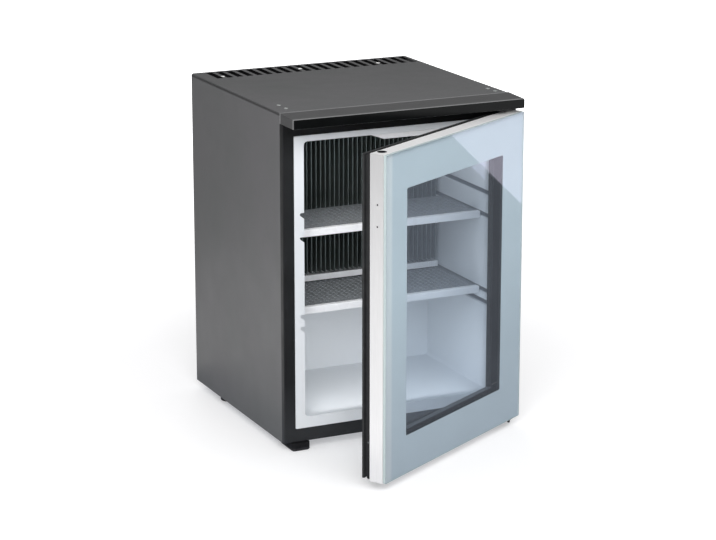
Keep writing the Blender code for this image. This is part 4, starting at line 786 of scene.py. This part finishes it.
class MINIBAR_OT_stage(bpy.types.Operator):
    """Floor, backdrop, lamps and camera"""

    bl_idname = "minibar.stage"
    bl_label = "Stage"

    def execute(self, context):
        stage = context.scene.minibar_stage
        self.floor(stage)
        self.world(stage)
        wide = 2.0
        for name, place, aim, power in (
            ("key_lamp", (-1.6, -2.8, 2.2), (0, -0.1, 0.25), stage.key_power),
            ("front_fill", (0.3, -2.6, 2.6), (0, -0.1, 0.25), 30.0),
            ("rear_fill", (0.6, 3.2, 1.8), (0, 0, 0.25), 40.0),
        ):
            self.lamp(name, place, aim, (wide, wide), power)
        self.inner_fill()
        self.cards()
        self.camera(stage)
        return {"FINISHED"}

    def floor(self, stage):
        """Floor under the feet that stays white behind the object and keeps its shadow."""
        bm = bmesh.new()
        bmesh.ops.create_grid(bm, x_segments=4, y_segments=4, size=14.0)
        bmesh.ops.translate(bm, vec=(0, 0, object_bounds()[0].z), verts=bm.verts)
        floor = linked("floor", bm)
        made = Finish("floor_paper")
        made.base(stage.floor_colour, 0.9, specular=0.1)
        made.mottle(900.0, 2.0, 0.99, 1.0)
        glow = made.nodes.new("ShaderNodeEmission")
        both = made.nodes.new("ShaderNodeAddShader")
        reach = made.nodes.new("ShaderNodeVectorMath")
        reach.operation = "LENGTH"
        made.links.new(made.place, reach.inputs[0])
        near, far, faint = 0.5, 3.0, 0.34
        spread = made.ranged(reach.outputs["Value"], near, far, faint, 1.0)
        strength = combined(made.tree, "MULTIPLY", spread, self.seen(made.tree))
        made.links.new(strength, glow.inputs["Strength"])
        made.links.new(made.shader.outputs["BSDF"], both.inputs[0])
        made.links.new(glow.outputs["Emission"], both.inputs[1])
        made.links.new(both.outputs["Shader"], made.nodes["Material Output"].inputs["Surface"])
        floor.data.materials.append(made.material)
        floor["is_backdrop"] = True

    def seen(self, tree):
        """One for rays from the camera, from gloss and through glass, and nought for the others."""
        path = tree.nodes.new("ShaderNodeLightPath")
        total = path.outputs["Is Camera Ray"]
        for other in ("Is Glossy Ray", "Is Transmission Ray"):
            total = combined(tree, "MAXIMUM", total, path.outputs[other])
        return total

    def world(self, stage):
        """White all round where it is seen, softer where it only lights."""
        world = bpy.data.worlds.new("studio")
        bpy.context.scene.world = world
        world.use_nodes = True
        tree = world.node_tree
        backdrop = tree.nodes["Background"]
        backdrop.inputs["Color"].default_value = (1.0, 1.0, 1.0, 1.0)
        extra = combined(tree, "MULTIPLY", self.seen(tree), 1.0 - stage.ambient)
        tree.links.new(combined(tree, "ADD", extra, stage.ambient), backdrop.inputs["Strength"])

    def cards(self):
        """What the glass, the cap and the sheets mirror: four dark flags and a bright slanting window."""
        for name, axis, at, first, second, tone in (
            ("flag_rear", "Y", 1.35, (-1.1, 2.4), (0.62, 1.9), (0.12, 0.12, 0.12)),
            ("flag_left", "Y", 0.95, (-2.2, -0.3), (-0.013, 0.75), (0.2, 0.2, 0.2)),
            ("flag_right", "X", 1.3, (-1.0, 0.5), (-0.013, 1.2), (0.34, 0.37, 0.43)),
            ("flag_floor", "Z", -0.0125, (-0.3, 1.3), (-0.8, 0.3), (0.34, 0.37, 0.43)),
        ):
            corners = []
            for a, b in ((0, 0), (1, 0), (1, 1), (0, 1)):
                corner = [first[a], second[b]]
                corner.insert("XYZ".index(axis), at)
                corners.append(corner)
            self.card(name, corners, tone)
        window = [(-0.42, 0.34), (-0.15, 0.075), (-0.15, 0.42), (-0.42, 0.42)]
        self.card("window_card", [(1.2, y, z) for y, z in window], (1.5, 1.45, 1.72))

    def card(self, name, corners, tone):
        """Glowing card that shows only after a mirror bounce, also one inside the glazing."""
        bm = bmesh.new()
        bmesh.ops.contextual_create(bm, geom=[bm.verts.new(corner) for corner in corners])
        card = linked(name, bm)
        made = Finish(name)
        glow = made.nodes.new("ShaderNodeEmission")
        glow.inputs["Color"].default_value = (*tone, 1.0)
        drift = made.ranged(made.noise(400.0, 1.0), *NOISE_SPAN, 0.94, 1.06)
        made.links.new(drift, glow.inputs["Strength"])
        bounces = made.nodes.new("ShaderNodeLightPath").outputs["Glossy Depth"]
        mix = made.nodes.new("ShaderNodeMixShader")
        made.links.new(combined(made.tree, "MINIMUM", bounces, 1.0), mix.inputs["Fac"])
        made.links.new(made.nodes.new("ShaderNodeBsdfTransparent").outputs["BSDF"], mix.inputs[1])
        made.links.new(glow.outputs["Emission"], mix.inputs[2])
        made.links.new(mix.outputs["Shader"], made.nodes["Material Output"].inputs["Surface"])
        card.data.materials.append(made.material)
        card.visible_camera = False
        card.visible_diffuse = False
        card.visible_shadow = False
        card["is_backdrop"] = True

    def inner_fill(self):
        """Faint light on each shelf level, in place of the small lamp in the compartment."""
        lower_shelf, upper_shelf = low("shelf_lower_tray").z, low("shelf_upper_tray").z
        mouth, wide = low("inner_liner").y, 0.27
        for name, floor, roof, strength in (
            ("inner_fill_bottom", low("inner_liner").z + 30.0, lower_shelf - 60.0, 4.6),
            ("inner_fill_middle", lower_shelf + 36.0, upper_shelf - 36.0, 4.8),
            ("inner_fill_top", upper_shelf + 40.0, low("lamp_housing").z - 14.0, 4.4),
        ):
            place = Vector((0.0, mouth + 8.0, (floor + roof) / 2)) * MM
            tall = (roof - floor) * MM
            self.lamp(name, place, place + Vector((0, 1, 0)), (wide, tall), strength * wide * tall)

    def lamp(self, name, place, aim, size, power):
        """Soft rectangular lamp."""
        light = bpy.data.lights.new(name, "AREA")
        light.shape = "RECTANGLE"
        light.size, light.size_y = size
        light.energy = power
        lamp = bpy.data.objects.new(name, light)
        lamp.location = place
        lamp.rotation_euler = (Vector(aim) - Vector(place)).to_track_quat("-Z", "Y").to_euler()
        lamp.visible_camera = False
        lamp.visible_glossy = False
        lamp.visible_transmission = False
        bpy.context.scene.collection.objects.link(lamp)

    def camera(self, stage):
        """Camera at the photograph's viewing angle."""
        place = (-1.6510, -3.5062, 1.2699)
        azimuth, elevation = math.radians(-25.32), math.radians(15.11)
        right = Vector((math.cos(azimuth), math.sin(azimuth), 0.0))
        level = Vector((math.sin(azimuth), -math.cos(azimuth), 0.0))
        back = level * math.cos(elevation) + Vector((0.0, 0.0, math.sin(elevation)))
        data = bpy.data.cameras.new("camera")
        data.lens = stage.focal_length
        data.sensor_width = 36.0
        camera = bpy.data.objects.new("camera", data)
        turn = Matrix((right, back.cross(right), back)).transposed()
        camera.matrix_world = Matrix.Translation(place) @ turn.to_4x4()
        bpy.context.scene.collection.objects.link(camera)
        bpy.context.scene.camera = camera


class MINIBAR_OT_cabinet(bpy.types.Operator):
    """Side sheets, top sheet with its screws, cap and front frame"""

    bl_idname = "minibar.cabinet"
    bl_label = "Cabinet shell"

    def execute(self, context):
        dressed("side_panel_left", painted_sheet(), 0.3)
        dressed("side_panel_right", painted_sheet(), 0.3)
        sheet = dressed("top_panel", painted_top(), 0.25, shape=self.open_slots)
        sheet.data.materials.append(slot_shade_black())
        # painted shade: the sheet's underside and the inner face of its apron take the near-black finish
        apron = high("top_panel").y * MM - 0.0035
        for face in sheet.data.polygons:
            under_apron = face.normal.y < -FACING and face.center.y > apron
            face.material_index = 1 if face.normal.z < -FACING or under_apron else 0
        dressed("top_cap", cap_paint(), 0.5)
        dressed("cap_front_strip", gloss_black(), 0.25)
        dressed("front_frame", black_moulding(), 0.5, 20.0)
        radius = context.scene.minibar_sizes.screw_radius / MM
        bridges = [(-164.2, 161.5), (-18.7, 173.4), (124.5, 166.6)]
        corners = [(-178.2, -103.2), (-177.8, -130.7), (183.5, -120.5), (184.5, -143.5)]
        for place, spots, material in (
            ("rear", bridges, bright_screw()),
            ("front", corners, painted_screw()),
        ):
            heads = [(x, y, high("top_panel").z) for x, y in spots]
            screws(f"top_{place}_screws", heads, (0, 0, 1), material, radius)
        self.corner_tabs()
        return {"FINISHED"}

    def open_slots(self, bm):
        """Open the vent slots to their full width in the sheet."""
        pitch, shift, half, wide = 17.9, 7.0, 4.6, 5.8
        sheet_foot, field_front, field_rear = 534.0, 150.0, 205.0
        rear_ends, rear_opened = 200.0, 206.5
        for v in bm.verts:
            x, y, z = v.co / MM
            middle = round((x - shift) / pitch) * pitch + shift
            if z > sheet_foot and field_front < y < field_rear and abs(abs(x - middle) - half) < 0.1:
                v.co.x = (middle + math.copysign(wide, x - middle)) * MM
                v.co.y = (rear_opened if y > rear_ends else y) * MM

    def corner_tabs(self):
        """Tabs that close the top sheet's rear corners, and a near-black strip behind its apron as painted shade
        in the vents.
        """
        lower, upper = low("top_panel"), high("top_panel")
        inner, outer, reach = 190.0, 198.6, 197.5
        bm = bmesh.new()
        for side in (-1, 1):
            left, right = sorted((side * inner, side * outer))
            block(bm, (left, upper.y - 1.2, lower.z - 1.0), (right, upper.y - 0.1, upper.z - 0.9))
        built("top_panel_corner_tabs", bm, "cabinet", painted_top())
        # painted shade: a near-black strip behind the apron, seen through the vent slots
        bm = bmesh.new()
        block(bm, (-reach, upper.y - 2.4, lower.z + 0.6), (reach, upper.y - 1.4, upper.z - 1.1))
        built("vent_shade_strip", bm, "cabinet", slot_shade_black())


class MINIBAR_OT_liner(bpy.types.Operator):
    """Liner, lamp housing and lens"""

    bl_idname = "minibar.liner"
    bl_label = "Liner and lamp"

    def execute(self, context):
        dressed("inner_liner", white_liner(), 0.7, 25.0)
        dressed("lamp_housing", white_trim(), 1.2, 15.0, 3)
        self.lens()
        return {"FINISHED"}

    def lens(self):
        """Lens plate with a row of prism ribs on its underside."""
        lower, upper = low("lamp_lens"), high("lamp_lens")
        ribs = 12
        bm = bmesh.new()
        size = upper - lower
        made = bmesh.ops.create_grid(bm, x_segments=1, y_segments=2 * ribs, size=0.5)["verts"]
        for v in made:
            line = round((v.co.y + 0.5) * 2 * ribs)
            v.co.z = 0.5 if line % 2 else 0.0
        bmesh.ops.scale(bm, vec=(size.x, size.y, 1.0), verts=made)
        middle = (lower + upper) / 2
        bmesh.ops.translate(bm, vec=(middle.x, middle.y, lower.z), verts=made)
        for v in verts_of(bmesh.ops.extrude_face_region(bm, geom=bm.faces[:])["geom"]):
            v.co.z = upper.z
        built("lamp_lens_ribbed", bm, "cabinet", frosted_lens(), ["lamp_lens"])


class MINIBAR_OT_evaporator(bpy.types.Operator):
    """Evaporator fins and the gutter under them"""

    bl_idname = "minibar.evaporator"
    bl_label = "Evaporator"

    def execute(self, context):
        dressed("evaporator_fins", fin_aluminium(), 0.35, 40.0)
        dressed("drip_gutter", white_trim(), 0.5, 40.0)
        return {"FINISHED"}


class MINIBAR_OT_shelves(bpy.types.Operator):
    """Perforated shelves and their white fronts"""

    bl_idname = "minibar.shelves"
    bl_label = "Shelves"

    def execute(self, context):
        for body in ("shelf_upper", "shelf_lower"):
            self.tray(body, context.scene.minibar_sizes)
            dressed(f"{body}_trim", white_trim(), 0.6, 25.0)
        return {"FINISHED"}

    def tray(self, body, sizes):
        """Plate with a field of round holes inside a plain margin."""
        node = f"{body}_tray"
        lower, upper = low(node), high(node)
        pitch, radius = sizes.hole_pitch / MM, sizes.hole_radius / MM
        margin = 9.0
        size = upper - lower
        middle = (upper + lower) / 2
        across = int((size.x - 2 * margin) // pitch)
        deep = int((size.y - 2 * margin) // pitch)
        bm = bmesh.new()
        made = bmesh.ops.create_grid(bm, x_segments=across + 2, y_segments=deep + 2, size=0.5)["verts"]
        bmesh.ops.scale(bm, vec=((across + 2) * pitch, (deep + 2) * pitch, 1.0), verts=made)
        edge_x, edge_y = (across + 1.5) * pitch / 2, (deep + 1.5) * pitch / 2
        for v in made:
            if abs(v.co.x) > edge_x:
                v.co.x = math.copysign(size.x / 2, v.co.x)
            if abs(v.co.y) > edge_y:
                v.co.y = math.copysign(size.y / 2, v.co.y)
        field = [f for f in bm.faces if not any(v.is_boundary for v in f.verts)]
        square = 0.8 * radius
        bmesh.ops.inset_individual(bm, faces=field, thickness=pitch / 2 - square)
        rims = list({e for f in field for e in f.edges})
        bmesh.ops.subdivide_edges(bm, edges=rims, cuts=2)
        for f in field:
            centre = f.calc_center_bounds()
            for v in f.verts:
                v.co = centre + (v.co - centre).normalized() * radius
        bmesh.ops.delete(bm, geom=field, context="FACES")
        roof = verts_of(bmesh.ops.extrude_face_region(bm, geom=bm.faces[:])["geom"])
        bmesh.ops.translate(bm, vec=(0, 0, size.z), verts=roof)
        bmesh.ops.translate(bm, vec=(middle.x, middle.y, lower.z), verts=bm.verts)
        built(f"{node}_perforated", bm, body, grey_shelf(), [node])


class MINIBAR_OT_door(bpy.types.Operator):
    """Rails, glazing, inner frame and gasket of the door"""

    bl_idname = "minibar.door"
    bl_label = "Door"

    def execute(self, context):
        for rail in ("latch", "hinge"):
            dressed(f"door_rail_{rail}", door_aluminium_upright(), 0.35)
        for rail in ("top", "bottom"):
            dressed(f"door_rail_{rail}", door_aluminium_cross(), 0.35)
        for pane in ("outer", "inner"):
            self.pane(f"door_glass_{pane}")
        dressed("door_printed_border", blue_grey_print(), 0.03)
        dressed("door_glass_spacer", spacer_bar(), 0.3)
        dressed("door_inner_frame", inner_moulding(), 0.4)
        dressed("door_gasket", grey_gasket(), 0.7, 25.0, 3)
        return {"FINISHED"}

    def pane(self, node):
        """Pane with clear faces and a ground edge."""
        piece = dressed(node, clear_glass(), 0.3)
        piece.data.materials.append(glass_edge())
        facing = DOOR_SWING.to_3x3() @ Vector((0, 1, 0))
        for face in piece.data.polygons:
            face.material_index = 0 if abs(face.normal.dot(facing)) > 0.99 else 1


class MINIBAR_OT_hinge(bpy.types.Operator):
    """Hinge brackets, pins, bushes and blanking plugs"""

    bl_idname = "minibar.hinge"
    bl_label = "Hinge"

    def execute(self, context):
        for place in ("lower", "upper"):
            dressed(f"hinge_bracket_{place}", black_steel(), 0.4)
            dressed(f"hinge_pin_{place}", zinc_steel(), 0.3)
            dressed(f"hinge_bush_{place}", white_bush(), 0.25)
            self.cup(f"spare_hole_plug_{place}", 1 if place == "upper" else -1)
        self.stop()
        return {"FINISHED"}

    def cup(self, node, out):
        """Blanking plug with a dished middle, in the mirrored place of the hinge bush."""
        level = high("door_rail_top").z if out > 0 else low("door_rail_bottom").z
        profile = [(0.0, -2.7), (6.0, -2.7), (6.0, 0.02), (7.3, 0.02), (7.3, 0.35), (7.0, 0.5), (5.6, 0.5),
                   (5.2, 0.2), (4.9, -2.0), (0.0, -2.2)]
        bm = bmesh.new()
        spun(bm, profile, (-HINGE_LINE.x / MM, HINGE_LINE.y / MM, level), (0, 0, out))
        built(f"{node}_cup", bm, "door", rubber_foot(), [node])

    def stop(self):
        """Door stop stud under the nose of the lower bracket."""
        place = (186.8, -202.4, low("hinge_bracket_lower").z)
        bm = bmesh.new()
        spun(bm, [(0.0, -4.6), (1.8, -4.6), (2.2, -4.2), (2.2, 0.0), (0.0, 0.0)], place, (0, 0, 1))
        built("hinge_stop_stud", bm, "cabinet", black_steel())


class MINIBAR_OT_feet(bpy.types.Operator):
    """Four feet"""

    bl_idname = "minibar.feet"
    bl_label = "Feet"

    def execute(self, context):
        for end in ("front", "rear"):
            for side in ("left", "right"):
                dressed(f"foot_{end}_{side}", rubber_foot(), 0.6)
        return {"FINISHED"}


class MINIBAR_OT_rear_panels(bpy.types.Operator):
    """Base, foam, back plate, plug and the unit's straps"""

    bl_idname = "minibar.rear_panels"
    bl_label = "Back and base"

    def execute(self, context):
        dressed("base_plate", galvanised(), 0.2)
        dressed("insulation_foam", foam(), 0.5)
        dressed("back_plate", galvanised(), 0.2)
        dressed("evaporator_plug", galvanised(), 0.5)
        for place in ("lower", "upper"):
            dressed(f"unit_bracket_{place}", galvanised(), 0.4)
        self.fasteners()
        return {"FINISHED"}

    def fasteners(self):
        """Screws of the straps, the plug's lip and the back plate's rim."""
        places = []
        for place in ("lower", "upper"):
            lower, upper = low(f"unit_bracket_{place}"), high(f"unit_bracket_{place}")
            flange = lower.y + 1.5
            for x in (lower.x + 12, -60.0, 60.0, upper.x - 12):
                places += [(x, flange, lower.z + 6), (x, flange, upper.z - 6)]
        lower, upper = low("evaporator_plug"), high("evaporator_plug")
        for x in (lower.x + 6, upper.x - 6):
            places += [(x, upper.y, lower.z + 6), (x, upper.y, upper.z - 6)]
        lower, upper = low("back_plate"), high("back_plate")
        for x in (lower.x + 12, upper.x - 12):
            places += [(x, upper.y, z) for z in (40.0, 270.0, 400.0, upper.z - 14)]
        screws("rear_screws", places, (0, 1, 0), zinc_steel(), 3.0)


class MINIBAR_OT_cooling_unit(bpy.types.Operator):
    """Absorber, boiler, condenser and their pipes"""

    bl_idname = "minibar.cooling_unit"
    bl_label = "Cooling unit"

    def execute(self, context):
        self.vessel()
        self.coil()
        self.pipes()
        self.condenser()
        self.boiler()
        return {"FINISHED"}

    def vessel(self):
        """Absorber vessel with domed ends and a weld round each."""
        lower, upper = low("absorber_vessel"), high("absorber_vessel")
        centre = (lower + upper) / 2
        half, radius = (upper.x - lower.x) / 2, (upper.z - lower.z) / 2
        dome, sunk, rise, wide = 10.0, 0.6, 0.9, 2.2
        slopes = [math.radians(a) for a in range(0, 90, 9)]
        end = [(radius * math.cos(a), half - dome + dome * math.sin(a)) for a in slopes] + [(0.0, half)]
        profile = [(r, -h) for r, h in reversed(end)] + end
        bm = bmesh.new()
        spun(bm, profile, centre, (1, 0, 0), 40)
        built("absorber_vessel_domed", bm, "cabinet", unit_black(), ["absorber_vessel"])
        bm = bmesh.new()
        for side in (-1, 1):
            seam = side * (half - dome - 1.0)
            slopes = [math.radians(a) for a in range(0, 181, 30)]
            bead = [(radius - sunk + rise * math.sin(a), seam + wide * math.cos(a)) for a in slopes]
            spun(bm, bead, centre, (1, 0, 0), 40)
        built("vessel_welds", bm, "cabinet", weld_bead())

    def coil(self):
        """Absorber coil: it climbs in laps from the vessel and leaves through the back plate."""
        near, far, left, right, bend = 121.0, 183.0, -130.0, 35.0, 20.0
        foot, rise = 136.0, 45.0
        corners = [(left, far - bend, 180, 90), (right, far - bend, 90, 0), (right, near + bend, 0, -90),
                   (left, near + bend, -90, -180)]
        lap = []
        for x, y, start, end in corners:
            lap += arc(x, y, bend, start, end, 4)
        last = len(lap) * 3 - len(lap) // 4
        path = [(left - bend, near + bend, z) for z in (115.3, 123.3)]
        path += [(*lap[i % len(lap)], foot + rise * i / len(lap)) for i in range(last)]
        height = foot + rise * last / len(lap)
        out, level, turn = 20.0, 322.5, 13.0
        path += [(x, near, z) for x, z in arc(out + turn, height + turn, turn, 270, 180, 6)]
        path += [(out, y, z) for y, z in arc(near - turn, level - turn, turn, 0, 90, 6)]
        path.append((out, PIPE_END, level))
        self.pipe("absorber_coil", path, 7.0)

    def pipes(self):
        """Heat exchanger, vapour pipe up to the condenser and liquid pipe down from it."""
        lower, upper = low("heat_exchanger_pipe"), high("heat_exchanger_pipe")
        centre = (lower + upper) / 2
        path = [(x, centre.y, centre.z) for x in (lower.x, upper.x)]
        self.pipe("heat_exchanger_pipe", path, 9.0)
        depth, top, bend = 150.0, 470.0, 16.0
        path = [(134.0, depth, 330.3)]
        path += [(x, depth, z) for x, z in arc(134.0 - bend, top - bend, bend, 0, 90)]
        path.append((112.3, depth, top))
        self.pipe("vapour_pipe", path, 6.0)
        left, level, bend = -130.3, 377.5, 12.0
        path = [(-128.3, depth, top)]
        path += [(x, depth, z) for x, z in arc(left, top - bend, bend, 90, 180)]
        path += [(x, depth, z) for x, z in arc(left, level + bend, bend, 180, 270)]
        path += [(x, y, level) for x, y in arc(-20.0 - bend, depth - bend, bend, 90, 0)]
        path.append((-20.0, PIPE_END, level))
        self.pipe("liquid_pipe", path, 4.0)

    def pipe(self, node, path, radius):
        """Smooth pipe in the place of its CAD node."""
        bm = bmesh.new()
        tube(bm, path, radius)
        built(f"{node}_smooth", bm, "cabinet", unit_black(), [node], 40.0)

    def condenser(self):
        """Condenser tube and its round fins, each with a collar."""
        lower, upper = low("condenser"), high("condenser")
        centre = (lower + upper) / 2
        half, fin = (upper.x - lower.x) / 2, (upper.z - lower.z) / 2
        stem, collar, count, pitch, thick = 8.0, 9.0, 15, 15.0, 0.75
        profile = [(0.0, -half), (stem - 0.6, -half), (stem, -half + 0.6)]
        for i in range(count):
            middle = (i - count // 2) * pitch
            profile += [(stem, middle - 3.5), (collar - 0.3, middle - 2.6), (collar, middle - thick),
                        (fin - 0.3, middle - thick), (fin, middle - 0.4), (fin, middle + 0.4),
                        (fin - 0.3, middle + thick), (stem, middle + thick)]
        profile += [(stem, half - 0.6), (stem - 0.6, half), (0.0, half)]
        bm = bmesh.new()
        spun(bm, profile, centre, (1, 0, 0), 36)
        built("condenser_finned", bm, "cabinet", unit_black(), ["condenser"])

    def boiler(self):
        """Sheet jacket round the boiler, with its lapped seam and two straps."""
        dressed("boiler_jacket", galvanised(), 0.8, 30.0, 3)
        lower, upper = low("boiler_jacket"), high("boiler_jacket")
        bm = bmesh.new()
        left, right = lower.x + 9, lower.x + 21
        block(bm, (left, upper.y - 0.2, lower.z + 1), (right, upper.y + 0.8, upper.z - 1), 0.3)
        built("jacket_seam", bm, "cabinet", galvanised())
        seam = [(lower.x + 15, upper.y + 0.8, z) for z in (82.0, 150.0, 218.0, 308.0)]
        screws("jacket_rivets", seam, (0, 1, 0), zinc_steel(), 2.2)
        for name, level in (("lower", 112.0), ("upper", 262.0)):
            self.strap(f"jacket_strap_{name}", level)

    def strap(self, name, level):
        """Steel band round the jacket, with its clamp."""
        node = "boiler_jacket"
        lower, upper = low(node), high(node)
        middle, half = (lower + upper) / 2, (upper - lower) / 2
        height, proud, thickness = 12.0, 0.9, 0.7
        bm = bmesh.new()
        bm.from_mesh(frame["nodes"][node].data)
        for v in bm.verts:
            spot = v.co / MM
            for axis in (0, 1):
                spot[axis] = middle[axis] + (spot[axis] - middle[axis]) * (half[axis] + proud) / half[axis]
            spot.z = level + (height if spot.z > middle.z else 0.0)
            v.co = spot
        bmesh.ops.delete(bm, geom=[f for f in bm.faces if abs(f.normal.z) > FACING], context="FACES")
        bmesh.ops.solidify(bm, geom=bm.faces[:], thickness=thickness)
        left, right = middle.x + 6, middle.x + 22
        block(bm, (left, upper.y + 0.6, level + 1), (right, upper.y + 5.6, level + height - 1), 0.8)
        built(name, bm, "cabinet", zinc_steel())


class MINIBAR_OT_controls(bpy.types.Operator):
    """Control box and cord gland"""

    bl_idname = "minibar.controls"
    bl_label = "Controls"

    def execute(self, context):
        dressed("control_box", black_moulding(), 1.2, 30.0, 3)
        dressed("cord_gland", black_moulding(), 0.5)
        lower, upper = low("control_box"), high("control_box")
        bm = bmesh.new()
        inset, proud = 2.5, 1.6
        block(bm, (lower.x + inset, upper.y - 0.3, lower.z + inset),
              (upper.x - inset, upper.y + proud, upper.z - inset), 0.7)
        built("control_box_lid", bm, "cabinet", black_moulding())
        across, up = (lower.x + 8, upper.x - 8), (lower.z + 8, upper.z - 8)
        corners = [(x, upper.y + proud, z) for x in across for z in up]
        screws("control_box_screws", corners, (0, 1, 0), zinc_steel(), 2.4)
        return {"FINISHED"}


STEPS = (
    MINIBAR_OT_stage,
    MINIBAR_OT_cabinet,
    MINIBAR_OT_liner,
    MINIBAR_OT_evaporator,
    MINIBAR_OT_shelves,
    MINIBAR_OT_door,
    MINIBAR_OT_hinge,
    MINIBAR_OT_feet,
    MINIBAR_OT_rear_panels,
    MINIBAR_OT_cooling_unit,
    MINIBAR_OT_controls,
)


class MINIBAR_PT_build(bpy.types.Panel):
    """Sidebar panel with the choices and the build steps"""

    bl_idname = "MINIBAR_PT_build"
    bl_label = "Minibar fridge"
    bl_space_type = "VIEW_3D"
    bl_region_type = "UI"
    bl_category = "Minibar"

    def draw(self, context):
        scene = context.scene
        for group in (scene.minibar_finishes, scene.minibar_sizes, scene.minibar_stage):
            box = self.layout.box()
            for name in group.bl_rna.properties.keys():
                if name not in ("rna_type", "name"):
                    box.prop(group, name)
        for step in STEPS:
            self.layout.operator(step.bl_idname)


CLASSES = (MinibarFinishes, MinibarSizes, MinibarStage, *STEPS, MINIBAR_PT_build)


def register():
    """Register the classes and hang the property groups on the scene."""
    for part in CLASSES:
        bpy.utils.register_class(part)
    bpy.types.Scene.minibar_finishes = PointerProperty(type=MinibarFinishes)
    bpy.types.Scene.minibar_sizes = PointerProperty(type=MinibarSizes)
    bpy.types.Scene.minibar_stage = PointerProperty(type=MinibarStage)


def unregister():
    """Take the property groups and the classes away again."""
    del bpy.types.Scene.minibar_stage
    del bpy.types.Scene.minibar_sizes
    del bpy.types.Scene.minibar_finishes
    for part in reversed(CLASSES):
        bpy.utils.unregister_class(part)


def main():
    """Register the classes and build every piece."""
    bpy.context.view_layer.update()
    register()
    bpy.context.scene.view_settings.view_transform = "Standard"
    for step in STEPS:
        group, name = step.bl_idname.split(".")
        getattr(getattr(bpy.ops, group), name)()
    bpy.context.view_layer.update()


if __name__ == "__main__":
    main()
